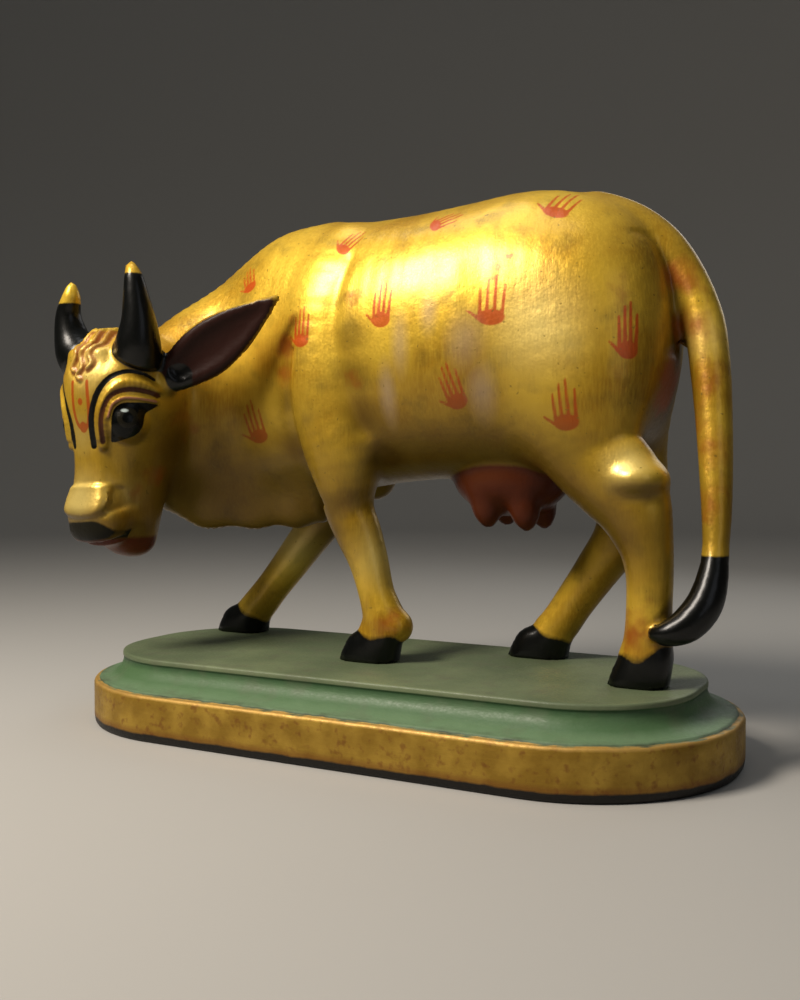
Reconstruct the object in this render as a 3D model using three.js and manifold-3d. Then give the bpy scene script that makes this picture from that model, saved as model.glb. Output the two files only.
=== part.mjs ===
// A painted wooden cow on a low plinth with rounded ends, in millimetres.
// The origin is the middle of the plinth's underside. The cow looks along -X and its left side is -Y.
// The cow is described as a field that is negative inside the wood. Its surface is found on a grid of
// small cells, thinned to few facets, and cut flat where the hooves stand.

import * as THREE from 'three';
import Module from 'manifold-3d';
import { mergeVertices } from 'three/addons/utils/BufferGeometryUtils.js';

const wasm = await Module();
wasm.setup();

// Driving dimensions of the plinth
const plinth = {
  length: 300,
  width: 136.8,
  height: 32.4,
  endRadius: 66.6, // corners of the wide lower band, nearly half round
  topRadius: 46.5, // corners of the standing surface, a little squarer
  topInset: 15.1, // how far the standing surface lies inside the lower band
  bandBottom: 4.5,
  bandTop: 19.9,
  lip: 2.6, // height of the upright edge at the top of the hollow moulding
  cornerSteps: 11,
};

// Driving dimensions of the cow
const cow = {
  middle: 14, // the cow stands behind the plinth's middle line
  soles: plinth.height + 0.3, // a hair's gap between hooves and plinth
  girth: 41, // half the barrel's width
  legSpread: 22, // from the middle to a leg
  hoof: { length: 27, width: 19, height: 14.5, cleft: 1.5 },
  straightHoof: { length: 23.5, height: 17.5 }, // under the upright hind leg
  hornRise: 38.6, // from the foot of the near horn to its tip
  farHornLower: 4.8,
};

// The head hangs beside the neck, turned until it almost looks along -Y
const head = {
  centre: [-117.5, -41, 138.5], // between the eyes, inside the skull
  turn: 80, // degrees
};

// How the cow's surface is found
const cell = 2.6; // edge of the cells in which the surface is looked for
const block = 4; // cells along the edge of a block that is judged by its middle
const searched = { low: [-172, -82, 20], high: [166, 64, 240] }; // the box around the whole cow
const edgeShare = 0.06; // how near to a corner the surface may cross an edge
const sweepMargin = 24; // beyond it a sweep's distance is only estimated

// How the surface is thinned
const facets = 8400; // facets that are left on the cow
const headCare = { before: -84, weight: 3 }; // the head keeps finer facets than the rest
const shortEdgeWeight = 2e-3; // long edges cost a little more than short ones
const turnLimit = 0.25; // a facet may not turn further than this cosine

const solesCut = [500, 400, 100]; // the block that cuts the soles flat

// Vector helpers

function cross(a, b) {
  return [a[1] * b[2] - a[2] * b[1], a[2] * b[0] - a[0] * b[2], a[0] * b[1] - a[1] * b[0]];
}

function dot(a, b) {
  return a[0] * b[0] + a[1] * b[1] + a[2] * b[2];
}

function unit(a) {
  const length = Math.hypot(a[0], a[1], a[2]);
  return [a[0] / length, a[1] / length, a[2] / length];
}

function moved(a, b, amount = 1) {
  return [a[0] + b[0] * amount, a[1] + b[1] * amount, a[2] + b[2] * amount];
}

function mixed(a, b, t) {
  return a.map((value, i) => value + (b[i] - value) * t);
}

// A smooth curve through rows of numbers, with a few rows added between each two
function through(rows, steps) {
  const out = [];
  for (let i = 0; i + 1 < rows.length; i++) {
    const before = rows[Math.max(i - 1, 0)];
    const from = rows[i];
    const to = rows[i + 1];
    const after = rows[Math.min(i + 2, rows.length - 1)];
    for (let j = 0; j < steps; j++) {
      const t = j / steps;
      out.push(from.map((_, k) => {
        const slopeA = (to[k] - before[k]) / 2;
        const slopeB = (after[k] - from[k]) / 2;
        const gap = to[k] - from[k];
        const bend = 3 * gap - 2 * slopeA - slopeB;
        const twist = slopeA + slopeB - 2 * gap;
        return from[k] + t * (slopeA + t * (bend + t * twist));
      }));
    }
  }
  out.push(rows.at(-1));
  return out;
}

// Joins two fields with a soft fillet of width k
function blend(a, b, k) {
  const near = Math.max(k - Math.abs(a - b), 0) / k;
  return Math.min(a, b) - near * near * k * 0.25;
}

// Takes the field b out of the field a, with softened edges
function hollow(a, b, k) {
  return -blend(-a, b, k);
}

// Distance to an ellipsoid or a fuller, boxier one, from the offsets and radii along its three axes
function eggDistance(a, b, c, ra, rb, rc, fullness) {
  const n = fullness;
  const power = n === 2 ? (value) => value : (value) => value ** (n - 1);
  const shares = [Math.abs(a / ra), Math.abs(b / rb), Math.abs(c / rc)];
  const [pa, pb, pc] = shares.map(power);
  const total = pa * shares[0] + pb * shares[1] + pc * shares[2];
  const size = n === 2 ? Math.sqrt(total) : total ** (1 / n);
  if (size < 0.05) {
    return -Math.min(ra, rb, rc);
  }
  const slope = Math.sqrt((pa / ra) ** 2 + (pb / rb) ** 2 + (pc / rc) ** 2);
  return (size - 1) * (total / size) / slope;
}

// A body swept along stations [x, y, z, wide, deep]: wide is the half size along the direction
// `across`, deep the half size square to it and to the path. The ends are closed by caps.
function sweep(stations, across, { fullness = 2, cap = 0, steps = 4 } = {}) {
  const rows = through(stations, steps);
  const pieces = [];
  for (let i = 0; i + 1 < rows.length; i++) {
    const run = moved(rows[i + 1], rows[i], -1);
    const flat = moved(run, across, -dot(run, across));
    const length = Math.hypot(...flat);
    const along = unit(flat);
    pieces.push({ from: rows[i], to: rows[i + 1], along, aside: cross(along, across), length });
  }
  const reach = Math.max(...rows.map((row) => Math.max(row[3], row[4], cap)));
  const low = [0, 1, 2].map((i) => Math.min(...rows.map((row) => row[i])) - reach);
  const high = [0, 1, 2].map((i) => Math.max(...rows.map((row) => row[i])) + reach);
  return (p) => {
    const away = Math.hypot(
      Math.max(low[0] - p[0], p[0] - high[0], 0),
      Math.max(low[1] - p[1], p[1] - high[1], 0),
      Math.max(low[2] - p[2], p[2] - high[2], 0),
    );
    if (away > sweepMargin) {
      return away;
    }
    let best = Infinity;
    for (const piece of pieces) {
      const { from, to, along, aside, length } = piece;
      const reached = ((p[0] - from[0]) * along[0] + (p[1] - from[1]) * along[1]
        + (p[2] - from[2]) * along[2]) / length;
      const t = Math.min(Math.max(reached, 0), 1);
      const ex = p[0] - from[0] - (to[0] - from[0]) * t;
      const ey = p[1] - from[1] - (to[1] - from[1]) * t;
      const ez = p[2] - from[2] - (to[2] - from[2]) * t;
      const wide = from[3] + (to[3] - from[3]) * t;
      const deep = from[4] + (to[4] - from[4]) * t;
      const beyond = (reached - t) * length;
      const up = ex * across[0] + ey * across[1] + ez * across[2];
      const out = ex * aside[0] + ey * aside[1] + ez * aside[2];
      best = Math.min(best, eggDistance(up, out, beyond, wide, deep, cap || deep, fullness));
    }
    return best;
  };
}

// An ellipsoid in a frame of its own
function egg(centre, radii, frame, fullness = 2) {
  return (p) => {
    const e = moved(p, centre, -1);
    return eggDistance(
      dot(e, frame[0]), dot(e, frame[1]), dot(e, frame[2]), radii[0], radii[1], radii[2], fullness,
    );
  };
}

const upright = [0, 0, 1];
const sideways = [0, 1, 0];
const level = [[1, 0, 0], sideways, upright];

// The trunk, from the chest to the rump
const trunk = sweep([
  [-46, 166, 60, 31],
  [-30, 167, 60.5, 35],
  [-10, 168.5, 59, 39],
  [15, 170, 58.3, cow.girth],
  [40, 171.5, 59, cow.girth],
  [62, 172.5, 60, 39],
  [80, 172, 57, 36],
].map(([x, z, tall, wide]) => [x, cow.middle, z, tall, wide]), upright, { fullness: 2.2, cap: 42 });

// The neck bends towards the head and narrows to it
const neck = sweep([
  [-40, 14, 168, 56, 30],
  [-62, 13, 164, 58, 27],
  [-80, 8, 157.5, 56.5, 24],
  [-96, -1, 152, 49, 22],
  [-108, -12, 148, 42, 21],
  [-114, -24, 143, 36, 20],
], upright, { cap: 14 });

// The fold of skin that hangs below the neck
const dewlap = sweep([
  [-46, 13, 112, 22, 12],
  [-62, 11, 108, 19.5, 8],
  [-78, 6, 106, 18, 6.5],
  [-92, 0, 106, 18.5, 6],
  [-103, -7, 108, 19, 6.5],
  [-111, -17, 112, 17, 9],
], upright, { cap: 8 });

// The raised shoulder, a strap from the withers to the elbow, which follows its leg forward
function shoulder(side, step) {
  const y = (offset) => cow.middle + side * offset;
  return sweep([
    [-22, y(13), 213, 9, 11],
    [-28, y(24), 193, 9.5, 12.5],
    [-30 - step * 0.3, y(29), 168, 9.5, 13],
    [-28 - step * 0.7, y(29.5), 147, 10, 14],
    [-21 - step, y(27), 127, 10.5, 16],
    [-19 - step, y(24), 113, 10.5, 12.5],
  ], sideways);
}

const shoulders = [shoulder(-1, 0), shoulder(1, 24)];

// A leg from the body down to the hoof
function leg(stations, side) {
  const y = cow.middle + side * cow.legSpread;
  return sweep(stations.map(([x, offset, z, wide, deep]) => [x, y + side * offset, z, wide, deep]), sideways);
}

const legs = {
  nearFore: leg([
    [-21, 0, 126, 12, 15],
    [-20.5, 0, 110, 11, 12],
    [-18.5, 0, 99, 10, 11],
    [-13.5, 0, 88, 9.2, 10.4],
    [-8.5, 0, 76, 8.4, 8.8],
    [-4.5, 0, 62, 7.8, 7.9],
    [-1, 0, 51, 8.6, 9.4],
    [-3, 0, 44, 8.6, 9.5],
  ], -1),
  farFore: leg([
    [-46, 0, 124, 12, 15],
    [-47, 0, 108, 11, 13],
    [-56.5, 0, 94, 9.8, 10.8],
    [-68, 0, 81, 9.2, 9.8],
    [-79, 0, 68, 8.6, 9],
    [-89, 0, 56.5, 8.2, 8.5],
    [-96, 0, 48.5, 8.6, 8.8],
    [-101, 0, 43, 8.6, 9],
  ], 1),
  nearHind: leg([
    [80, -8, 182, 21, 32],
    [84, -4, 156, 20, 31],
    [87, -2, 139, 17, 26],
    [92, 0, 124, 12.5, 19.5],
    [102, 0, 113, 12.5, 18],
    [109, 0, 103, 11.5, 15],
    [114, 0, 89, 9.8, 11],
    [116, 0, 77, 8.8, 9.2],
    [116, 0, 62, 8.6, 8.8],
    [115.5, 0, 50, 9, 9.2],
    [114, 0, 44, 9, 9.4],
  ], -1),
  farHind: leg([
    [78, -8, 182, 21, 32],
    [82, -4, 152, 20, 31],
    [90, 0, 124, 16, 21],
    [96, 0, 104, 12, 15],
    [91.5, 0, 88, 9.8, 11.6],
    [81.5, 0, 73, 9, 9.8],
    [71, 0, 58, 8.4, 8.8],
    [65, 0, 49, 8.6, 8.8],
    [61, 0, 44, 8.6, 9],
  ], 1),
};

// The heel of the upright hind leg, the far elbow below the chest, and the heel of the near foreleg
const joints = [
  egg([112, -10.5, 112.5], [12, 12.5, 8], level),
  egg([-28, 32, 114], [11, 9, 11], level),
  egg([6.5, -8, 45.5], [6.5, 7, 4.5], level),
];

// A hoof is a blunt wedge, split in front
function hoof(x, side, { length, height } = cow.hoof) {
  const { width } = cow.hoof;
  const y = cow.middle + side * cow.legSpread;
  const shell = sweep([
    [x - 1, y, cow.soles - 8, length / 2 + 1, width / 2 + 0.8],
    [x, y, cow.soles, length / 2, width / 2],
    [x + 3, y, cow.soles + height * 0.6, length / 2 - 1.5, width / 2 - 0.6],
    [x + 6, y, cow.soles + height - 3, length / 2 - 5, width / 2 - 2],
  ], [1, 0, 0], { fullness: 2.6, cap: 3.5 });
  const split = sweep([
    [x - length / 2 - 3, y, cow.soles - 4, cow.hoof.cleft, 3],
    [x - length / 2 + 1, y, cow.soles + height * 0.5, cow.hoof.cleft, 2.6],
    [x - length / 2 + 6, y, cow.soles + height, cow.hoof.cleft, 1.2],
  ], sideways);
  return (p) => hollow(shell(p), split(p), 1.2);
}

const hooves = [hoof(-8, -1), hoof(-108, 1), hoof(112, -1, cow.straightHoof), hoof(54, 1)];

// The tail leaves the rump as a thick root, hangs clear and swings to the near side
const tail = sweep([
  [88, 14, 222, 8, 7],
  [104, 14, 217, 8, 6],
  [116, 14, 207, 7.5, 6.2],
  [125, 13.5, 192, 7.5, 7],
  [131.5, 12, 174, 7.6, 7.8],
  [134.7, 9.5, 155, 7.4, 7.7],
  [137, 6, 135, 7, 7],
  [138.8, 2, 115, 6.4, 6.3],
  [140, -2, 97, 5.6, 5.5],
  [140.3, -5, 84, 4.8, 4.7],
], sideways);

// The tuft thickens, curls forward and touches the near hind leg
const tuft = sweep([
  [140.3, -4.5, 86, 4.6, 4.5],
  [140, -8, 76, 5.8, 5.8],
  [137.8, -11.5, 66, 7, 6.8],
  [132.5, -15, 58.5, 6.8, 6.6],
  [126, -18, 55, 5, 4.8],
  [121.5, -18.5, 54.5, 2.8, 3],
], sideways);

// The udder, with four teats
const bag = egg([50, 14, 113], [26, 20, 17], level);
const teats = [-1, 1].flatMap((side) => [
  sweep([
    [42, cow.middle + side * 9, 106, 7.5, 7.5],
    [42.5, cow.middle + side * 10, 99, 6, 6.2],
    [43.5, cow.middle + side * 10.5, 95, 3.4, 3.6],
  ], sideways),
  sweep([
    [58.5, cow.middle + side * 9, 106, 7.5, 7.5],
    [60, cow.middle + side * 10, 98.5, 6, 6.2],
    [61, cow.middle + side * 10.5, 94, 3.4, 3.6],
  ], sideways),
]);

function body(p) {
  let d = blend(trunk(p), neck(p), 16);
  d = blend(d, dewlap(p), 9);
  for (const strap of shoulders) {
    d = blend(d, strap(p), 7);
  }
  for (const limb of Object.values(legs)) {
    d = blend(d, limb(p), 9);
  }
  for (const joint of joints) {
    d = blend(d, joint(p), 3);
  }
  return d;
}

// Directions of the head: out to its left, forward through the face, and up
const turn = THREE.MathUtils.degToRad(head.turn);
const headFrame = [
  [Math.sin(turn), -Math.cos(turn), 0],
  [-Math.cos(turn), -Math.sin(turn), 0],
  upright,
];

// A place in the head, from its distances to the left, forward and up
function inHead([left, forward, up]) {
  return moved(moved(moved(head.centre, headFrame[0], left), headFrame[1], forward), upright, up);
}

function headSweep(stations, across, options) {
  const rows = stations.map(([left, forward, up, wide, deep]) => [...inHead([left, forward, up]), wide, deep]);
  return sweep(rows, across, options);
}

const skull = egg(inHead([0, 0, 15]), [25, 24, 25], headFrame, 2.3);
const face = headSweep([
  [0, 1, 14, 24, 23],
  [0, 2, -6, 21, 20],
  [0, 5, -24, 16.5, 16],
  [0, 8, -42, 15.5, 16],
], headFrame[0], { fullness: 2.3, cap: 12 });
const bridge = headSweep([
  [0, 15, 26, 13, 9.5],
  [0, 15.5, 6, 13, 9.5],
  [0, 13.5, -14, 11, 9.2],
  [0, 13.5, -30, 11.5, 9.4],
  [0, 16, -40, 14, 9],
], headFrame[0], { fullness: 3.6, cap: 6 });
const jaw = headSweep([
  [0, -10, -6, 19, 14],
  [0, -6, -30, 14.5, 13],
  [0, -2, -52.5, 12, 12],
], headFrame[0], { fullness: 2.2, cap: 10 });

// The right and left ear: a pointed leaf, hollowed where it faces forward
function ear(side) {
  const foot = inHead([side * 25, -3, 17]);
  const tip = side > 0 ? inHead([75, -22.5, 51.5]) : inHead([-52, -42, 38]);
  const along = unit(moved(tip, foot, -1));
  const facing = unit(moved(moved(headFrame[1], headFrame[0], side * 0.55), upright, -0.25));
  const across = unit(cross(along, facing));
  const at = (share, lift = 0) => moved(mixed(foot, tip, share), cross(across, along), lift);
  const leaf = sweep([
    [...at(-0.05), 5, 5],
    [...at(0.15), 9.5, 4.6],
    [...at(0.38), 12, 4],
    [...at(0.62), 10, 3.4],
    [...at(0.85), 5.2, 2.4],
    [...at(1), 1.4, 1.2],
  ], across);
  const sign = dot(cross(across, along), facing) > 0 ? 1 : -1;
  const cup = sweep([
    [...at(0.12, sign * 4.4), 5, 2.6],
    [...at(0.38, sign * 4.2), 8.6, 3.6],
    [...at(0.62, sign * 3.6), 7, 3],
    [...at(0.86, sign * 2.4), 2.8, 1.6],
  ], across);
  return (p) => hollow(leaf(p), cup(p), 1.5);
}

// A horn rises from the corner of the skull, a little forward, swings out and bends back in
function horn(side, rise, tipOut) {
  const foot = 25;
  return headSweep([
    [side * 19.2, 8, foot + 2, 10.9, 10.9],
    [side * 22, 9.5, foot + rise * 0.2, 10, 10],
    [side * 24.2, 11, foot + rise * 0.42, 7.8, 7.8],
    [side * 24.4, 12.5, foot + rise * 0.68, 5.8, 5.8],
    [side * (tipOut + 0.8), 13.5, foot + rise * 0.9, 4.2, 4.2],
    [side * tipOut, 14, foot + rise, 2.6, 2.6],
  ], headFrame[1], { cap: 4 });
}

// An eye stands out under its brow
function eye(side) {
  const ball = egg(inHead([side * 15.3, 11, -1.5]), [9.4, 9.4, 9.8], headFrame);
  const brow = headSweep([
    [side * 11, 20.5, -12, 1.5, 2],
    [side * 12.6, 21.2, -2, 2.2, 2.8],
    [side * 14.6, 20.6, 6, 2.4, 3],
    [side * 19, 17, 12.4, 2.4, 3],
    [side * 23.6, 11, 14, 2.2, 2.8],
    [side * 26, 4.5, 11.5, 1.6, 2.2],
  ], headFrame[0]);
  return { ball, brow };
}

const ears = [ear(1), ear(-1)];
const horns = [horn(1, cow.hornRise, 23.2), horn(-1, cow.hornRise - cow.farHornLower, 20)];
const eyes = [eye(1), eye(-1)];
const tuftOfHair = egg(inHead([0, 8, 32]), [12, 11, 9], headFrame);
const muzzleFront = egg(inHead([0, 15, -47]), [15, 9.5, 9.5], headFrame, 2.6);
const mouth = headSweep([
  [-17, 2, -50, 1.4, 2],
  [-10, 17, -54.5, 1.4, 2],
  [10, 17, -54.5, 1.4, 2],
  [17, 2, -50, 1.4, 2],
], upright);

function headField(p) {
  let d = blend(skull(p), face(p), 8);
  d = blend(d, jaw(p), 7);
  d = blend(d, bridge(p), 2.5);
  d = blend(d, muzzleFront(p), 4);
  for (const { ball, brow } of eyes) {
    d = blend(d, ball(p), 2);
    d = blend(d, brow(p), 2);
  }
  d = hollow(d, mouth(p), 1.5);
  d = blend(d, tuftOfHair(p), 3);
  return d;
}

// The whole cow
function wood(p) {
  let d = body(p);
  if (p[0] < -30) {
    d = blend(d, headField(p), 5);
    for (const part of horns) {
      d = blend(d, part(p), 2.5);
    }
    for (const part of ears) {
      d = blend(d, part(p), 3);
    }
  }
  if (p[0] > 60) {
    d = blend(d, tail(p), 5);
    d = blend(d, tuft(p), 1.5);
  }
  if (p[0] > 10 && p[0] < 95) {
    d = blend(d, bag(p), 4);
    for (const teat of teats) {
      d = blend(d, teat(p), 3);
    }
  }
  for (const part of hooves) {
    d = blend(d, part(p), 1.5);
  }
  return d;
}

// The corners of a cell, and the six tetrahedra that fill it
const corners = [[0, 0, 0], [1, 0, 0], [0, 1, 0], [1, 1, 0], [0, 0, 1], [1, 0, 1], [0, 1, 1], [1, 1, 1]];
const tetrahedra = [[0, 5, 1, 7], [0, 1, 3, 7], [0, 3, 2, 7], [0, 2, 6, 7], [0, 6, 4, 7], [0, 4, 5, 7]];

// Finds the surface of a field inside a box as a closed mesh
function surfaceOf(field, low, high, size) {
  const count = low.map((value, i) => Math.ceil((high[i] - value) / size) + 1);
  const at = (i, j, k) => (k * count[1] + j) * count[0] + i;
  const place = (index) => {
    const i = index % count[0];
    const j = Math.floor(index / count[0]) % count[1];
    const k = Math.floor(index / count[0] / count[1]);
    return [low[0] + i * size, low[1] + j * size, low[2] + k * size];
  };
  const values = fieldValues(field, count, at, place, size);
  const points = [];
  const known = new Map();
  const crossing = (a, b) => {
    const key = a < b ? a * values.length + b : b * values.length + a;
    if (!known.has(key)) {
      const t = Math.min(Math.max(values[a] / (values[a] - values[b]), edgeShare), 1 - edgeShare);
      known.set(key, points.length);
      points.push(mixed(place(a), place(b), t));
    }
    return known.get(key);
  };
  const faces = [];
  for (let k = 0; k + 1 < count[2]; k++) {
    for (let j = 0; j + 1 < count[1]; j++) {
      for (let i = 0; i + 1 < count[0]; i++) {
        const ids = corners.map(([a, b, c]) => at(i + a, j + b, k + c));
        const inside = ids.filter((id) => values[id] < 0).length;
        if (inside === 0 || inside === 8) {
          continue;
        }
        for (const four of tetrahedra) {
          addFacets(four.map((corner) => ids[corner]), values, crossing, place, points, faces);
        }
      }
    }
  }
  return { points, faces };
}

// The field at every corner. A block of corners far from the surface takes its middle's value.
function fieldValues(field, count, at, place, size) {
  const values = new Float64Array(count[0] * count[1] * count[2]);
  const span = (from, axis) => [...Array(Math.min(block, count[axis] - from)).keys()].map((n) => from + n);
  for (let k = 0; k < count[2]; k += block) {
    for (let j = 0; j < count[1]; j += block) {
      for (let i = 0; i < count[0]; i += block) {
        const middle = field(moved(place(at(i, j, k)), [1, 1, 1], size * (block - 1) / 2));
        const near = Math.abs(middle) < size * block * 1.5;
        for (const c of span(k, 2)) {
          for (const b of span(j, 1)) {
            for (const a of span(i, 0)) {
              const index = at(a, b, c);
              values[index] = (near ? field(place(index)) : middle) || 1e-9;
            }
          }
        }
      }
    }
  }
  return values;
}

// The one or two facets that part the inner corners of a tetrahedron from the outer ones
function addFacets(four, values, crossing, place, points, faces) {
  const inner = four.filter((id) => values[id] < 0);
  const outer = four.filter((id) => values[id] >= 0);
  if (inner.length === 0 || outer.length === 0) {
    return;
  }
  const ring = inner.length === 2
    ? [[0, 0], [0, 1], [1, 1], [1, 0]].map(([p, q]) => crossing(inner[p], outer[q]))
    : inner.flatMap((p) => outer.map((q) => crossing(p, q)));
  const outwards = moved(place(outer[0]), place(inner[0]), -1);
  for (let i = 1; i + 1 < ring.length; i++) {
    const [a, b, c] = [ring[0], ring[i], ring[i + 1]];
    const away = dot(normalOf(points[a], points[b], points[c]), outwards);
    faces.push(away > 0 ? [a, b, c] : [a, c, b]);
  }
}

function normalOf(a, b, c) {
  return cross(moved(b, a, -1), moved(c, a, -1));
}

// Thins a closed mesh by drawing its shortest and flattest edges together, one after another.
// Each point keeps the sum of squared distances to the planes of the facets that it has taken in.
function thinned({ points, faces }, goal, careAt) {
  const planes = points.map(() => new Float64Array(10));
  const around = points.map(() => new Set());
  const stamp = new Int32Array(points.length);
  faces.forEach((face, id) => {
    const normal = normalOf(...face.map((v) => points[v]));
    const size = Math.hypot(...normal) || 1e-12;
    const [x, y, z] = normal.map((value) => value / size);
    const w = -dot([x, y, z], points[face[0]]);
    const care = careAt(points[face[0]]) * size;
    const terms = [x * x, x * y, x * z, x * w, y * y, y * z, y * w, z * z, z * w, w * w];
    for (const v of face) {
      around[v].add(id);
      terms.forEach((term, i) => {
        planes[v][i] += term * care;
      });
    }
  });
  const queue = [];
  const neighbours = (v) => new Set([...around[v]].flatMap((id) => faces[id].filter((n) => n !== v)));
  const consider = (a, b) => {
    const sum = planes[a].map((value, i) => value + planes[b][i]);
    const { spot, cost } = bestSpot(sum, points[a], points[b]);
    const edge = moved(points[a], points[b], -1);
    pushEntry(queue, { cost: cost + dot(edge, edge) * shortEdgeWeight, a, b, spot, mark: stamp[a] + stamp[b] });
  };
  points.forEach((_, v) => neighbours(v).forEach((n) => n > v && consider(v, n)));
  let left = faces.length;
  while (left > goal && queue.length > 0) {
    const { a, b, spot, mark } = popEntry(queue);
    if (!around[a] || !around[b] || mark !== stamp[a] + stamp[b]) {
      continue;
    }
    const nearB = neighbours(b);
    const shared = [...neighbours(a)].filter((n) => nearB.has(n));
    if (shared.length !== 2 || turnsOver(a, b, spot, points, faces, around)) {
      continue;
    }
    points[a] = spot;
    planes[b].forEach((value, i) => {
      planes[a][i] += value;
    });
    for (const id of around[b]) {
      if (faces[id].includes(a)) {
        faces[id].forEach((v) => v !== b && around[v].delete(id));
        faces[id] = null;
        left -= 1;
      } else {
        faces[id] = faces[id].map((v) => (v === b ? a : v));
        around[a].add(id);
      }
    }
    around[b] = null;
    stamp[a] += 1;
    for (const n of neighbours(a)) {
      consider(a, n);
    }
  }
  return { points, faces: faces.filter((face) => face) };
}

// The place for two points drawn together, and the squared distance that it costs
function bestSpot(sum, a, b) {
  const cost = ([x, y, z]) => sum[0] * x * x + sum[4] * y * y + sum[7] * z * z + sum[9]
    + 2 * (sum[1] * x * y + sum[2] * x * z + sum[5] * y * z + sum[3] * x + sum[6] * y + sum[8] * z);
  const rowX = [sum[0], sum[1], sum[2]];
  const rowY = [sum[1], sum[4], sum[5]];
  const rowZ = [sum[2], sum[5], sum[7]];
  const scale = dot(rowX, cross(rowY, rowZ));
  const middle = mixed(a, b, 0.5);
  let spot = middle;
  if (Math.abs(scale) > 1e-7) {
    const right = [-sum[3], -sum[6], -sum[8]];
    const solved = [
      dot(right, cross(rowY, rowZ)) / scale,
      dot(rowX, cross(right, rowZ)) / scale,
      dot(rowX, cross(rowY, right)) / scale,
    ];
    const reach = Math.hypot(...moved(a, b, -1));
    if (Math.hypot(...moved(solved, middle, -1)) < reach) {
      spot = solved;
    }
  }
  return { spot, cost: Math.max(cost(spot), 0) };
}

// Whether a facet would turn over, or become a sliver, if a and b were drawn to the spot
function turnsOver(a, b, spot, points, faces, around) {
  for (const [v, other] of [[a, b], [b, a]]) {
    for (const id of around[v]) {
      if (faces[id].includes(other)) {
        continue;
      }
      const before = normalOf(...faces[id].map((n) => points[n]));
      const after = normalOf(...faces[id].map((n) => (n === v ? spot : points[n])));
      if (dot(before, after) <= turnLimit * Math.hypot(...before) * Math.hypot(...after)) {
        return true;
      }
    }
  }
  return false;
}

// A queue that always gives its cheapest entry first
function pushEntry(queue, entry) {
  let i = queue.push(entry) - 1;
  while (i > 0) {
    const parent = (i - 1) >> 1;
    if (queue[parent].cost <= entry.cost) {
      break;
    }
    queue[i] = queue[parent];
    i = parent;
  }
  queue[i] = entry;
}

function popEntry(queue) {
  const first = queue[0];
  const last = queue.pop();
  const size = queue.length;
  let i = 0;
  while (size > 0) {
    let child = 2 * i + 1;
    if (child + 1 < size && queue[child + 1].cost < queue[child].cost) {
      child += 1;
    }
    if (child >= size || queue[child].cost >= last.cost) {
      queue[i] = last;
      break;
    }
    queue[i] = queue[child];
    i = child;
  }
  return first;
}

function geometryOf({ points, faces }) {
  const geometry = new THREE.BufferGeometry();
  geometry.setAttribute('position', new THREE.Float32BufferAttribute(points.flat(), 3));
  geometry.setIndex(faces.flat());
  return geometry;
}

function solidOf(geometry) {
  const merged = mergeVertices(geometry, 1e-4);
  return new wasm.Manifold(new wasm.Mesh({
    numProp: 3,
    vertProperties: new Float32Array(merged.attributes.position.array),
    triVerts: new Uint32Array(merged.index.array),
  }));
}

function geometryOfSolid(solid) {
  const { vertProperties, triVerts } = solid.getMesh();
  const geometry = new THREE.BufferGeometry();
  geometry.setAttribute('position', new THREE.Float32BufferAttribute(vertProperties, 3));
  geometry.setIndex([...triVerts]);
  geometry.computeVertexNormals();
  return geometry;
}

// The cow's mesh, with its hooves cut off flat at the soles
function carvedCow() {
  const found = surfaceOf(wood, searched.low, searched.high, cell);
  const careAt = ([x]) => (x < headCare.before ? headCare.weight : 1);
  const rough = solidOf(geometryOf(thinned(found, facets, careAt)));
  const floor = new THREE.BoxGeometry(...solesCut).deleteAttribute('normal').deleteAttribute('uv');
  floor.translate(0, 0, cow.soles - solesCut[2] / 2);
  return geometryOfSolid(rough.subtract(solidOf(floor)));
}

// One level of the plinth: a rectangle with round corners, going round once
function plinthRing(inset, z) {
  const share = inset / plinth.topInset;
  const radius = plinth.endRadius + (plinth.topRadius - plinth.endRadius) * share;
  const reach = [plinth.length / 2 - inset - radius, plinth.width / 2 - inset - radius];
  const ring = [];
  for (const [turns, sx, sy] of [[0, 1, 1], [1, -1, 1], [2, -1, -1], [3, 1, -1]]) {
    for (let i = 0; i < plinth.cornerSteps; i++) {
      const angle = (turns + i / (plinth.cornerSteps - 1)) * Math.PI / 2;
      ring.push([sx * reach[0] + radius * Math.cos(angle), sy * reach[1] + radius * Math.sin(angle), z]);
    }
  }
  return ring;
}

// The plinth: an eased foot, a flat band, a bead above it, a hollow moulding and a flat top
function plinthGeometry() {
  const { height, bandBottom, bandTop, lip, topInset } = plinth;
  const levels = [
    [2.2, 0],
    [0.6, 1.2],
    [0, bandBottom - 0.8],
    [0, bandTop - 1.6],
    [1, bandTop],
    [2.6, bandTop],
    [3, bandTop + 0.8],
  ];
  const hollowSteps = 7;
  const from = [4.2, bandTop + 1];
  const to = [topInset + 0.4, height - lip];
  for (let i = 0; i <= hollowSteps; i++) {
    const angle = i / hollowSteps * Math.PI / 2;
    levels.push([
      from[0] + (to[0] - from[0]) * Math.sin(angle),
      from[1] + (to[1] - from[1]) * (1 - Math.cos(angle)),
    ]);
  }
  levels.push([topInset, height - lip + 0.4], [topInset, height - 0.5], [topInset + 0.5, height]);
  const rings = levels.map(([inset, z]) => plinthRing(inset, z));
  const size = rings[0].length;
  const points = rings.flat();
  const faces = [];
  for (let r = 0; r + 1 < rings.length; r++) {
    for (let i = 0; i < size; i++) {
      const a = r * size + i;
      const b = r * size + (i + 1) % size;
      faces.push([a, b, b + size], [a, b + size, a + size]);
    }
  }
  const top = (rings.length - 1) * size;
  for (let i = 1; i + 1 < size; i++) {
    faces.push([0, i + 1, i], [top, top + i, top + i + 1]);
  }
  return geometryOf({ points, faces });
}

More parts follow.
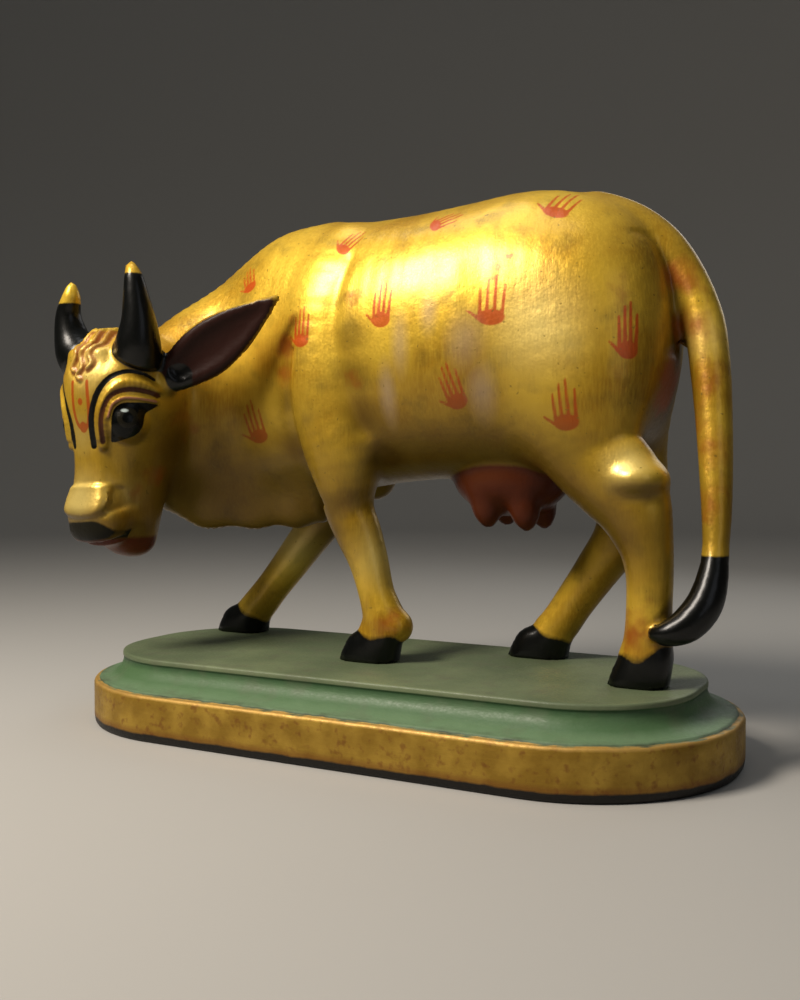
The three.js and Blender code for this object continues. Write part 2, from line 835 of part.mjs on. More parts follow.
const goldPaint = new THREE.MeshStandardMaterial({ color: 0xb8922e, roughness: 0.42, metalness: 0.35 });
const greenPaint = new THREE.MeshStandardMaterial({ color: 0x5d7a58, roughness: 0.6, metalness: 0 });

const statue = new THREE.Group();
const cowMesh = new THREE.Mesh(carvedCow(), goldPaint);
cowMesh.name = 'cow';
const plinthMesh = new THREE.Mesh(plinthGeometry(), greenPaint);
plinthMesh.name = 'plinth';
statue.add(cowMesh, plinthMesh);

export default statue;
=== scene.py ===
import math
from functools import partial

import bmesh
import bpy
import numpy as np
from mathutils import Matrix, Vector


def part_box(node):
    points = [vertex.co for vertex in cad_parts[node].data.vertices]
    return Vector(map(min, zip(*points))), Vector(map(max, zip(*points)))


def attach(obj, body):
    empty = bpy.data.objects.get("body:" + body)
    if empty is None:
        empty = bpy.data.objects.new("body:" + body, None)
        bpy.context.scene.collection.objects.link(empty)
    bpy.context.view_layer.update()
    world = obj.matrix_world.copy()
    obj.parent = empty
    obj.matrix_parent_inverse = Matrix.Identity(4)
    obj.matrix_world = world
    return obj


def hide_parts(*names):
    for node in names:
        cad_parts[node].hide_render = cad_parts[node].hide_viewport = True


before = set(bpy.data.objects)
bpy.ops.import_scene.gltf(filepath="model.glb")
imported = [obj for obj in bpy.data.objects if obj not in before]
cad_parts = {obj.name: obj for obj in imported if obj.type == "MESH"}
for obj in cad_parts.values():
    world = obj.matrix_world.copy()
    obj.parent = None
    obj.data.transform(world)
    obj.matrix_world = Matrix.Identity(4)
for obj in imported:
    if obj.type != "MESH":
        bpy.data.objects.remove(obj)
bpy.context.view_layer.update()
mm = 0.001  # the carving is worked out in millimetres, and a mesh is scaled once it is done
print("frame loaded")

# Camera and light

cameraSettings = {
    "place": (229.6, -426.6, 118.3),  # mm
    "turn": 27.99,  # degrees to the left of +Y
    "tilt": -1.86,  # degrees up from level
    "lens": 39.6,  # mm, as is the distance where its view starts
    "clipStart": 10,
}

lightSettings = {
    # name: place and aim in mm, size in mm, power in watts, colour
    "window": ((-290, -500, 640), (0, 0, 140), (260, 260), 8.4, "#fff4e6"),
    "overhead": ((-120, -80, 760), (0, 0, 120), (420, 240), 0.9, "#ffffff"),
    "side": ((560, -420, 330), (0, 0, 120), (300, 420), 0.25, "#eef3ff"),
    "back": ((160, 620, 420), (0, 0, 120), (500, 300), 0.5, "#ffffff"),
}
worldSettings = {"colour": "#e9edf2", "strength": 0.19}


def linear(hexColour):  # from the sRGB curve to linear light
    parts = [int(hexColour[i:i + 2], 16) / 255 for i in (1, 3, 5)]
    return [c / 12.92 if c <= 0.04045 else ((c + 0.055) / 1.055) ** 2.4 for c in parts] + [1.0]


def aimed(thing, place, direction):
    thing.location = Vector(place) * mm
    thing.rotation_mode = "QUATERNION"
    thing.rotation_quaternion = Vector(direction).to_track_quat("-Z", "Y")
    bpy.context.scene.collection.objects.link(thing)


def addCamera():
    turn, tilt = (math.radians(cameraSettings[key]) for key in ("turn", "tilt"))
    ahead = (-math.sin(turn) * math.cos(tilt), math.cos(turn) * math.cos(tilt), math.sin(tilt))
    camera = bpy.data.objects.new("camera", bpy.data.cameras.new("camera"))
    camera.data.lens = cameraSettings["lens"]
    camera.data.clip_start = cameraSettings["clipStart"] * mm
    aimed(camera, cameraSettings["place"], ahead)
    bpy.context.scene.camera = camera


def addLights():
    for name, (place, aim, size, power, colour) in lightSettings.items():
        light = bpy.data.lights.new(name, "AREA")
        light.shape = "RECTANGLE"
        light.size, light.size_y = size[0] * mm, size[1] * mm
        light.energy = power
        light.color = linear(colour)[:3]
        aimed(bpy.data.objects.new(name, light), place, Vector(aim) - Vector(place))
    world = bpy.data.worlds.new("studio")
    world.use_nodes = True
    sky = world.node_tree.nodes["Background"].inputs
    sky["Color"].default_value = linear(worldSettings["colour"])
    sky["Strength"].default_value = worldSettings["strength"]
    bpy.context.scene.world = world


addCamera()
addLights()
bpy.context.scene.view_settings.view_transform = "Standard"
print("camera and lights placed")

# Node helper and mesh helper


def add(tree, kind, inputs, out=0, **settings):  # adds a node and hands back one of its outputs
    node = tree.nodes.new("ShaderNode" + kind)
    for name, value in settings.items():
        setattr(node, name, value)
    for name, value in inputs.items():
        if isinstance(value, bpy.types.NodeSocket):
            tree.links.new(value, node.inputs[name])
        else:
            node.inputs[name].default_value = value
    return node.outputs[out] if node.outputs else None


def newMaterial(name):
    material = bpy.data.materials.new(name)
    material.use_nodes = True
    material.node_tree.nodes.clear()
    return material, material.node_tree


def meshObject(name, points, faces):
    mesh = bpy.data.meshes.new(name)
    mesh.from_pydata([tuple(p) for p in points], [], [tuple(f) for f in faces])
    mesh.validate()
    mesh.shade_smooth()
    made = bpy.data.objects.new(name, mesh)
    bpy.context.scene.collection.objects.link(made)
    return made


# Studio floor: a round sweep that rises far behind the object on every side

studioSettings = {
    "flat": 1500,  # mm from the middle to where the floor starts to rise
    "rise": 900,  # radius of the rise
    "wall": 2600,  # height of the top edge
    "riseSteps": 12,
    "sides": 96,
    "colour": "#a9a7a2",
    "roughness": 0.9,
}


def addStudio():
    s = studioSettings
    profile = [(0, 0), (s["flat"], 0)]
    for i in range(1, s["riseSteps"] + 1):
        angle = i / s["riseSteps"] * math.pi / 2
        profile.append((s["flat"] + s["rise"] * math.sin(angle), s["rise"] * (1 - math.cos(angle))))
    profile.append((s["flat"] + s["rise"], s["wall"]))
    count = s["sides"]
    points, faces = [(0, 0, 0)], []
    for radius, height in profile[1:]:
        for i in range(count):
            angle = i / count * 2 * math.pi
            points.append((radius * math.cos(angle) * mm, radius * math.sin(angle) * mm, height * mm))
    for i in range(count):
        faces.append((0, 1 + i, 1 + (i + 1) % count))
    for level in range(len(profile) - 2):
        for i in range(count):
            a = 1 + level * count + i
            b = 1 + level * count + (i + 1) % count
            faces.append((a, a + count, b + count, b))
    floor = meshObject("studioFloor", points, faces)
    material, tree = newMaterial("matt paper backdrop")  # even and pale, without a shine
    shader = add(tree, "BsdfPrincipled", {"Base Color": linear(s["colour"]), "Roughness": s["roughness"]})
    add(tree, "OutputMaterial", {"Surface": shader})
    floor.data.materials.append(material)


addStudio()
print("studio built")

# Forms of the carving: each is a function that gives the distance from points to its surface

farAway = 99.0  # stands for any distance that no join reaches
joinReach = 18  # mm around a sweep in which it is worked out, more than the widest join
tiny = 1e-9  # keeps a division away from zero


def unit(v):
    return np.asarray(v, float) / np.linalg.norm(v)


def through(rows, steps):  # a smooth curve through rows of numbers
    rows = np.array(rows, float)
    before = np.vstack([rows[:1], rows[:-2]])
    after = np.vstack([rows[2:], rows[-1:]])
    start, end = rows[:-1], rows[1:]
    slopeA, slopeB, gap = (end - before) / 2, (after - start) / 2, end - start
    bend, twist = 3 * gap - 2 * slopeA - slopeB, slopeA + slopeB - 2 * gap
    parts = [start + t * (slopeA + t * (bend + t * twist)) for t in np.arange(steps) / steps]
    return np.vstack([np.stack(parts, 1).reshape(-1, rows.shape[1]), rows[-1:]])


def blend(a, b, width):  # joins two fields with a soft fillet
    near = np.maximum(width - np.abs(a - b), 0) / width
    return np.minimum(a, b) - near * near * width * 0.25


def hollow(a, b, width):  # takes b out of a
    return -blend(-a, b, width)


def eggDistance(offsets, radii, fullness):  # true near the surface, and good enough elsewhere
    shares = [np.abs(offset) / radius for offset, radius in zip(offsets, radii)]
    powers = [share ** (fullness - 1) for share in shares]
    total = sum(power * share for power, share in zip(powers, shares)) + tiny
    size = total ** (1 / fullness)
    slope = np.sqrt(sum((power / radius) ** 2 for power, radius in zip(powers, radii))) + tiny
    atMiddle = size < 0.05  # where the slope says nothing
    return np.where(atMiddle, -np.minimum.reduce(np.broadcast_arrays(*radii)),
                    (size - 1) * (total / size) / slope)


def sweep(stations, across, fullness=2, cap=0, steps=4):
    # stations are [x, y, z, wide, deep]: wide is the half size along across, deep square to it
    rows = through(stations, steps)
    reach = max(rows[:, 3:].max(), cap) + joinReach
    low, high = rows[:, :3].min(0) - reach, rows[:, :3].max(0) + reach

    def field(p):
        out = np.full(len(p), farAway)
        near = np.all((p > low) & (p < high), axis=1)
        q = p[near]
        best = np.full(len(q), farAway)
        for start, end in zip(rows[:-1], rows[1:]):
            run = end[:3] - start[:3]
            flat = run - across * (run @ across)
            length = np.linalg.norm(flat)
            along = flat / length
            reached = (q - start[:3]) @ along / length
            t = np.clip(reached, 0, 1)
            e = q - start[:3] - t[:, None] * run
            wide = start[3] + (end[3] - start[3]) * t
            deep = start[4] + (end[4] - start[4]) * t
            offsets = (e @ across, e @ np.cross(along, across), (reached - t) * length)
            best = np.minimum(best, eggDistance(offsets, (wide, deep, cap or deep), fullness))
        out[near] = best
        return out
    return field


def egg(centre, radii, axes, fullness=2):
    def field(p):
        e = p - np.asarray(centre, float)
        return eggDistance([e @ axis for axis in axes], radii, fullness)
    return field


def joined(solid, p, parts):  # blends parts into a solid, each with its own width
    for part, width in parts:
        solid = blend(solid, part(p), width)
    return solid


upright = np.array([0.0, 0.0, 1.0])
sideways = np.array([0.0, 1.0, 0.0])
lengthways = np.array([1.0, 0.0, 0.0])
level = [lengthways, sideways, upright]

# The cow's body

cow = {
    "middle": 14,  # it stands behind the plinth's middle line
    "soles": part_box("cow")[0].z / mm,
    "girth": 41,
    "legSpread": 22,
    "hoof": {"length": 27, "height": 14.5},
    "straightHoof": {"length": 23.5, "height": 17.5},  # under the upright hind leg
    "hoofWidth": 19,
    "cleft": 1.5,
    "hornRise": 38.6,
    "farHornLower": 4.8,
    "voxel": 1.75,  # spacing of the mesh, halved on the face, the eyes and the prints
}

trunk = sweep([[x, cow["middle"], z, tall, wide] for x, z, tall, wide in (
    (-46, 166, 60, 31),
    (-30, 167, 60.5, 35),
    (-10, 168.5, 59, 39),
    (15, 170, 58.3, cow["girth"]),
    (40, 171.5, 59, cow["girth"]),
    (62, 172.5, 60, 39),
    (80, 172, 57, 36),
)], upright, fullness=2.2, cap=42)

neck = sweep([
    [-40, 14, 168, 56, 30],
    [-62, 13, 164, 58, 27],
    [-80, 8, 157.5, 56.5, 24],
    [-96, -1, 152, 49, 22],
    [-108, -12, 148, 42, 21],
    [-114, -24, 143, 36, 20],
], upright, cap=14)

plainDewlap = sweep([
    [-46, 13, 112, 22, 12],
    [-62, 11, 108, 19.5, 8],
    [-78, 6, 106, 18, 6.5],
    [-92, 0, 106, 18.5, 6],
    [-103, -7, 108, 19, 6.5],
    [-111, -17, 112, 17, 9],
], upright, cap=8)

dewlapWave = {"height": 0.9, "length": 21, "top": 112, "fade": 14}  # mm


def dewlap(p):  # its lower edge hangs in small waves
    wave = dewlapWave["height"] * np.sin(p[:, 0] / dewlapWave["length"] * 2 * math.pi)
    moved = p.copy()
    moved[:, 2] += wave * np.clip((dewlapWave["top"] - p[:, 2]) / dewlapWave["fade"], 0, 1)
    return plainDewlap(moved)


def shoulder(side, step):
    y = [cow["middle"] + side * offset for offset in (13, 24, 29, 29.5, 27, 24)]
    return sweep([
        [-22, y[0], 213, 9, 11],
        [-28, y[1], 193, 9.5, 12.5],
        [-30 - step * 0.3, y[2], 168, 9.5, 13],
        [-28 - step * 0.7, y[3], 147, 10, 14],
        [-21 - step, y[4], 127, 10.5, 16],
        [-19 - step, y[5], 113, 10.5, 12.5],
    ], sideways)


def leg(side, stations):
    y = cow["middle"] + side * cow["legSpread"]
    return sweep([[x, y + side * offset, z, wide, deep] for x, offset, z, wide, deep in stations], sideways)


legs = [
    leg(-1, [
        (-21, 0, 126, 12, 15),
        (-20.5, 0, 110, 11, 12),
        (-18.5, 0, 99, 10, 11),
        (-13.5, 0, 88, 9.2, 10.4),
        (-8.5, 0, 76, 8.4, 8.8),
        (-4.5, 0, 62, 7.8, 7.9),
        (-1, 0, 51, 8.6, 9.4),
        (-3, 0, 44, 8.6, 9.5),
    ]),
    leg(1, [
        (-46, 0, 124, 12, 15),
        (-47, 0, 108, 11, 13),
        (-56.5, 0, 94, 9.8, 10.8),
        (-68, 0, 81, 9.2, 9.8),
        (-79, 0, 68, 8.6, 9),
        (-89, 0, 56.5, 8.2, 8.5),
        (-96, 0, 48.5, 8.6, 8.8),
        (-101, 0, 43, 8.6, 9),
    ]),
    leg(-1, [
        (80, -8, 182, 21, 32),
        (84, -4, 156, 20, 31),
        (87, -2, 139, 17, 26),
        (92, 0, 124, 12.5, 19.5),
        (102, 0, 113, 12.5, 18),
        (109, 0, 103, 11.5, 15),
        (114, 0, 89, 9.8, 11),
        (116, 0, 77, 8.8, 9.2),
        (116, 0, 62, 8.6, 8.8),
        (115.5, 0, 50, 9, 9.2),
        (114, 0, 44, 9, 9.4),
    ]),
    leg(1, [
        (78, -8, 182, 21, 32),
        (82, -4, 152, 20, 31),
        (90, 0, 124, 16, 21),
        (96, 0, 104, 12, 15),
        (91.5, 0, 88, 9.8, 11.6),
        (81.5, 0, 73, 9, 9.8),
        (71, 0, 58, 8.4, 8.8),
        (65, 0, 49, 8.6, 8.8),
        (61, 0, 44, 8.6, 9),
    ]),
]

# The heel of the upright hind leg, the far elbow below the chest, and the heel of the near foreleg
joints = [
    egg([112, -10.5, 112.5], [12, 12.5, 8], level),
    egg([-28, 32, 112.3], [11, 9, 11], level),
    egg([6.3, -8, 48], [6.3, 7, 7], level),
]


def hoof(x, side, kind="hoof"):
    length, height, width, cleft = *cow[kind].values(), cow["hoofWidth"], cow["cleft"]
    y, soles = cow["middle"] + side * cow["legSpread"], cow["soles"]
    shell = sweep([
        [x - 1, y, soles - 8, length / 2 + 1, width / 2 + 0.8],
        [x, y, soles, length / 2, width / 2],
        [x + 3, y, soles + height * 0.6, length / 2 - 1.5, width / 2 - 0.6],
        [x + 6, y, soles + height - 3, length / 2 - 5, width / 2 - 2],
    ], lengthways, fullness=2.6, cap=3.5)
    split = sweep([
        [x - length / 2 - 3, y, soles - 4, cleft, 3],
        [x - length / 2 + 1, y, soles + height * 0.5, cleft, 2.6],
        [x - length / 2 + 6, y, soles + height, cleft, 1.2],
    ], sideways)
    return lambda p: hollow(shell(p), split(p), 1.2)


hooves = [hoof(-8, -1), hoof(-108, 1), hoof(112, -1, "straightHoof"), hoof(54, 1)]

tail = sweep([
    [88, 14, 222, 8, 7],
    [104, 14, 217, 8, 6],
    [116, 14, 207, 7.5, 6.2],
    [125, 13.5, 192, 7.5, 7],
    [131.5, 12, 174, 7.6, 7.8],
    [134.7, 9.5, 155, 7.4, 7.7],
    [137, 6, 135, 7, 7],
    [138.8, 2, 115, 6.4, 6.3],
    [140, -2, 97, 5.6, 5.5],
    [140.3, -5, 84, 4.8, 4.7],
], sideways)

tuft = sweep([
    [140.3, -4.5, 86, 4.6, 4.5],
    [140, -8, 76, 5.8, 5.8],
    [137.8, -11.5, 66, 7, 6.8],
    [132.5, -15, 58.5, 6.8, 6.6],
    [126, -18, 55, 5, 4.8],
    [121.5, -18.5, 54.5, 2.8, 3],
], sideways)

bag = egg([50, 14, 113], [26, 20, 17], level)


def teat(side, x, lean, length):
    return sweep([
        [x, cow["middle"] + side * 9, 106, 7.5, 7.5],
        [x + lean * 0.6, cow["middle"] + side * 10, 106 - length * 0.62, 6, 6.2],
        [x + lean, cow["middle"] + side * 10.5, 106 - length, 3.4, 3.6],
    ], sideways)


teats = [teat(side, *shape) for side in (-1, 1) for shape in ((42, 1.5, 11), (58.5, 2.5, 12))]

# The cow's head, turned until it almost looks along -Y

head = {
    "centre": np.array([-117.5, -41, 138.5]),
    "turn": math.radians(80),
    "carvedTo": -30,  # x that no form of the head goes past, and where the paint of the head ends
    "paintedTo": -60,
}
headAxes = np.array([
    [math.sin(head["turn"]), -math.cos(head["turn"]), 0],  # to its left
    [-math.cos(head["turn"]), -math.sin(head["turn"]), 0],  # forward
    upright,
])


def inHead(place):
    return head["centre"] + np.array(place, float) @ headAxes


def headSweep(stations, across, **shape):
    return sweep([[*inHead(row[:3]), *row[3:]] for row in stations], across, **shape)


skull = egg(inHead([0, 0, 15]), [25, 24, 25], headAxes, 2.3)
face = headSweep([
    [0, 1, 14, 24, 23],
    [0, 2, -6, 21, 20],
    [0, 5, -24, 16.5, 16],
    [0, 8, -42, 15.5, 16],
], headAxes[0], fullness=2.3, cap=12, steps=12)
bridge = headSweep([
    [0, 15, 26, 13, 9.5],
    [0, 15.5, 6, 13, 9.5],
    [0, 13.5, -14, 11, 9.2],
    [0, 13.5, -30, 11.5, 9.4],
    [0, 16, -40, 14, 9],
], headAxes[0], fullness=3.6, cap=6, steps=8)
jaw = headSweep([
    [0, -10, -6, 19, 14],
    [0, -6, -30, 14.5, 13],
    [0, -2, -52.5, 12, 12],
], headAxes[0], fullness=2.2, cap=10, steps=12)
muzzleFront = egg(inHead([0, 15, -47]), [15, 9.5, 9.5], headAxes, 2.6)
mouth = headSweep([
    [-17, 2, -50, 1.4, 2],
    [-10, 17, -54.5, 1.4, 2],
    [10, 17, -54.5, 1.4, 2],
    [17, 2, -50, 1.4, 2],
], upright)
forelock = egg(inHead([0, 8, 32]), [12, 11, 9], headAxes)

hornFoot = 25  # where a horn rises from the skull, above the eyes


def horn(side, rise, tipOut):  # it swings out and bends back in
    return headSweep([
        [side * 19.2, 8, hornFoot + 2, 10.9, 10.9],
        [side * 22, 9.5, hornFoot + rise * 0.2, 10, 10],
        [side * 24.2, 11, hornFoot + rise * 0.42, 7.8, 7.8],
        [side * 24.4, 12.5, hornFoot + rise * 0.68, 5.8, 5.8],
        [side * (tipOut + 0.8), 13.5, hornFoot + rise * 0.9, 4.2, 4.2],
        [side * tipOut, 14, hornFoot + rise, 2.6, 2.6],
    ], headAxes[1], cap=4)


# How far the maroon inside of an ear reaches, in mm: off its middle, from the cup, the skin and the foot
earInside = {"middle": 1.0, "cup": 1.2, "skin": 1.5, "foot": 2}


def ear(side, tip):
    foot, tip = inHead([side * 25, -3, 17]), inHead(tip)
    along = unit(tip - foot)
    facing = unit(headAxes[1] + headAxes[0] * side * 0.55 - upright * 0.25)
    across = unit(np.cross(along, facing))
    lifted = np.cross(across, along)
    lifted *= np.sign(lifted @ facing)

    def at(share, lift=0.0):
        return foot + (tip - foot) * share + lifted * lift
    leaf = sweep([
        [*at(-0.05), 5, 5],
        [*at(0.15), 9.5, 4.6],
        [*at(0.38), 12, 4],
        [*at(0.62), 10, 3.4],
        [*at(0.85), 5.2, 2.4],
        [*at(1), 1.4, 1.2],
    ], across)
    cup = sweep([
        [*at(0.12, 4.4), 5, 2.6],
        [*at(0.38, 4.2), 8.6, 3.6],
        [*at(0.62, 3.6), 7, 3],
        [*at(0.86, 2.4), 2.8, 1.6],
    ], across)

    def inside(p):  # the hollowed face of the leaf
        e = p - foot
        hollowed = np.minimum(earInside["middle"] - e @ lifted, cup(p) - earInside["cup"])
        return np.maximum.reduce([hollowed, leaf(p) - earInside["skin"], earInside["foot"] - e @ along])
    return (lambda p: hollow(leaf(p), cup(p), 1.5)), inside


horns = [horn(1, cow["hornRise"], 23.2), horn(-1, cow["hornRise"] - cow["farHornLower"], 20)]
ears, earInsides = zip(ear(1, [75, -22.5, 51.5]), ear(-1, [-52, -42, 38]))
eyeballs = [egg(inHead([side * 15.3, 11, -1.5]), [9.4, 9.4, 9.8], headAxes) for side in (1, -1)]
browFolds = [headSweep([
    [side * 11, 20.5, -12, 1.5, 2],
    [side * 12.6, 21.2, -2, 2.2, 2.8],
    [side * 14.6, 20.6, 6, 2.4, 3],
    [side * 19, 17, 12.4, 2.4, 3],
    [side * 23.6, 11, 14, 2.2, 2.8],
    [side * 26, 4.5, 11.5, 1.6, 2.2],
], headAxes[0]) for side in (1, -1)]

# Lines of the face, drawn square to the eye in millimetres from its middle: back and up

faceLines = {
    "brow": [(-13.7, -12.3), (-14.8, -0.7), (-12.6, 9.5), (-7.5, 16.7), (-0.1, 20), (7.2, 19.3),
             (12.3, 16.7)],
    "fold": [(-11.8, -9), (-12, -1.8), (-10.6, 5.5), (-5, 13.6), (2.4, 16.2), (9.7, 14.4), (15, 12)],
    "underBrow": [(-9.9, -10.5), (-10.6, -0.7), (-8.1, 7.2), (-3.8, 10.9), (2.4, 12.2), (9.7, 11.2),
                  (14, 9.7)],
    "lid": [(-7.5, 0.5), (-5.6, 5.6), (-1.3, 8.3), (3.6, 8.5), (8.5, 8), (13, 7.4)],
}
eyeOutline = [(14.9, 5.9), (9.4, 6.6), (4.5, 6.7), (-1, 6.4), (-3.6, 5.2), (-5.6, 2.4), (-6.3, -3),
              (-6.3, -7), (-6, -10.6), (-1.3, -9.6), (3.3, -8), (5.9, -5.8), (7.4, -2.8), (8.3, 1.8),
              (10.5, 3.5)]
iris = {"middle": (0.7, 0), "pupil": 2.1, "radius": 4.7}
# The eye's glint is a painted highlight: its middle back and up, its half width and half height, in mm
glint = {"middle": (-0.6, 3.1), "wide": 1.6, "tall": 0.75}

# Shapes of the forehead and the nose, in millimetres to the left and up
foreheadMark = {
    "middle": 2,
    "arm": [(4.8, 15.8), (5, 4.2), (3.4, -2.6), (0, -5.2)],
    "spots": [(7.2, 1.6), (-4, 2.5)],  # up and radius of the dot and of the drop below it
}
locks = [
    [(-2.5, 40), (-4, 33), (-2.2, 27), (-4.2, 22.5), (-2.2, 20.5)],
    [(2, 41), (3.3, 34), (1, 28), (2.9, 22), (0.2, 18.8), (2.6, 16.8)],
    [(6.5, 40), (8.2, 33), (6.4, 28), (8.6, 24), (6.6, 21.5)],
]
nosePad = [(12.2, -29), (13, -33), (13.2, -38.4), (10, -42.6), (0, -43.8), (-10, -42.6), (-13, -38.4),
           (-12, -33), (-10, -30), (0, -29.2)]
nosePatch = [(15.2, -49.7), (13.7, -51.8), (10.8, -53.1), (0, -54.2), (-10, -53), (-15, -50), (-13, -47),
             (-8, -46), (2, -45.4), (8.7, -45), (12.9, -46.8)]
nostrilLine = [(13.8, -31), (14.4, -38), (12.6, -42.5)]
sight = {"left": 0.622, "forward": -0.788, "start": 0.46}  # how they add up to the distance back
faceReach = {"side": 34, "low": -30, "high": 40}  # mm within which the lines of the face are drawn


def lineDistance(u, v, line, steps=5):
    points = through(line, steps)
    best = np.full(len(u), farAway)
    for (ax, ay), (bx, by) in zip(points[:-1], points[1:]):
        dx, dy = bx - ax, by - ay
        t = np.clip(((u - ax) * dx + (v - ay) * dy) / (dx * dx + dy * dy), 0, 1)
        best = np.minimum(best, np.hypot(u - ax - t * dx, v - ay - t * dy))
    return best


def outlineDistance(u, v, outline, steps=3):  # below zero inside a closed outline
    points = through([*outline, outline[0]], steps)
    inside = np.zeros(len(u), bool)
    for (ax, ay), (bx, by) in zip(points[:-1], points[1:]):
        crossed = (ay > v) != (by > v)
        inside ^= crossed & (u < ax + (bx - ax) * (v - ay) / ((by - ay) or tiny))
    away = lineDistance(u, v, points, 1)
    return np.where(inside, -away, away)


def headPlaces(p):
    left, forward, up = ((p - head["centre"]) @ headAxes.T).T
    back = sight["left"] * np.abs(left) + sight["forward"] * forward - sight["start"]
    onFace = (forward > 0) & (np.abs(left) < faceReach["side"])
    onFace &= (up > faceReach["low"]) & (up < faceReach["high"])
    return left, forward, up, back, onFace


def bump(distance, width):
    return np.exp(-(distance / width) ** 2)


# Carved lines: how far each stands out, below zero where it is cut in, and its width, in mm
faceCarving = [("fold", 0.5, 1.5), ("underBrow", -0.8, 1.2), ("lid", 0.8, 0.85), ("brow", -0.35, 1.2)]
lockCarving = {"ridge": 1.2, "ridgeWidth": 1.0, "groove": 0.5, "grooveWidth": 0.8, "beside": 1.9}
noseCarving = {
    "forward": 6, "side": 20, "low": -62, "high": -22,  # where the nose is
    "pad": 1.1, "padOut": 0.4, "padSlope": 1.2,  # its height, and how its edge falls off
    "nostril": 0.8, "nostrilWidth": 1.1,
}


def faceRelief(p):  # how far the fine carving of the face stands out
    left, forward, up, back, onFace = headPlaces(p)
    height = np.zeros(len(p))
    q = np.where(onFace)[0]
    raised = np.zeros(len(q))
    for line, amount, width in faceCarving:
        raised += amount * bump(lineDistance(back[q], up[q], faceLines[line]), width)
    c = lockCarving
    for lock in locks:
        away = lineDistance(left[q], up[q], lock)
        raised += c["ridge"] * bump(away, c["ridgeWidth"])
        raised -= c["groove"] * bump(away - c["beside"], c["grooveWidth"])
    height[q] = raised
    c = noseCarving
    onNose = (forward > c["forward"]) & (np.abs(left) < c["side"]) & (up < c["high"]) & (up > c["low"])
    q = np.where(onNose)[0]
    padEdge = outlineDistance(left[q], up[q], nosePad)
    height[q] += c["pad"] * np.clip(c["padOut"] - padEdge / c["padSlope"], 0, 1)
    height[q] -= c["nostril"] * bump(lineDistance(np.abs(left[q]), up[q], nostrilLine), c["nostrilWidth"])
    return height


# Grooves and soft folds of the body, as lines in x and z
strapEdge = [(-37.5, 168), (-38.6, 160), (-39.3, 152), (-39.3, 146), (-39, 138), (-37.9, 129),
             (-35.7, 119), (-31.8, 111), (-27, 101)]
strapBack = [(-12, 206), (-16.4, 188), (-16.9, 175), (-15, 163), (-11.7, 152), (-7.8, 141), (-5, 133)]
tailRoot = [(108, 209), (114, 206), (118.9, 196), (120.4, 188), (121.5, 180), (122, 169), (121.5, 162)]
flankFolds = [(29, -0.03, 6, 0.5), (53, -0.12, 7, 0.6)]  # x at mid height, lean with z, width, depth
bodyCarving = {
    "foldMiddle": 170, "foldsFrom": 124, "foldsRise": 20,  # heights, and over how much the folds come in
    "allTo": 214, "allFall": 16,  # height where everything has faded out
    "strapBack": 0.9, "strapBackWidth": 3.5,
    "strapEdge": 1.7, "steepWidth": 1.1, "softWidth": 3.6,  # steep behind the edge, soft before it
    "tailRoot": 1.6, "tailRootWidth": 1.5,
}


def bodyRelief(p):
    x, y, z = p.T
    c = bodyCarving
    near = np.where(y < cow["middle"] - 2, 1.0, 0.0)
    fading = np.clip((c["allTo"] - z) / c["allFall"], 0, 1)
    folding = np.clip((z - c["foldsFrom"]) / c["foldsRise"], 0, 1) * fading
    total = np.zeros(len(p))
    for middle, lean, width, depth in flankFolds:
        total -= depth * bump(x - middle - lean * (z - c["foldMiddle"]), width) * folding
    total -= c["strapBack"] * bump(lineDistance(x, z, strapBack), c["strapBackWidth"])
    behind = x > np.interp(-z, [-row[1] for row in strapEdge], [row[0] for row in strapEdge])
    strapWidth = np.where(behind, c["steepWidth"], c["softWidth"])
    total -= near * c["strapEdge"] * bump(lineDistance(x, z, strapEdge), strapWidth)
    return total - near * c["tailRoot"] * bump(lineDistance(x, z, tailRoot), c["tailRootWidth"]) * fading


def headWood(p):
    solid = joined(skull(p), p, [(face, 8), (jaw, 7), (bridge, 2.5), (muzzleFront, 4),
                                 *((part, 2) for part in (*eyeballs, *browFolds))])
    solid = hollow(solid, mouth(p), 1.5)
    return blend(solid, forelock(p), 3) - faceRelief(p)


def bodyWood(p):
    solid = joined(trunk(p), p, [(neck, 16), (dewlap, 9), (shoulder(-1, 0), 7), (shoulder(1, 24), 7),
                                 *((limb, 9) for limb in legs), *((joint, 3) for joint in joints)])
    return solid - bodyRelief(p)


def wood(p):  # the distance to the whole cow's surface, below zero inside
    nearHead = p[:, 0] < head["carvedTo"]
    headSolid = np.full(len(p), farAway)
    headSolid[nearHead] = headWood(p[nearHead])
    solid = joined(blend(bodyWood(p), headSolid, 5), p, [
        *((part, 2.5) for part in horns), *((part, 3) for part in ears), (tail, 5), (tuft, 1.5), (bag, 4),
        *((part, 3) for part in teats), *((part, 1.5) for part in hooves)])
    return np.maximum(solid, cow["soles"] - p[:, 2])


# Painted prints of a right hand: x and z on the flank, height, tilt in degrees and relative width

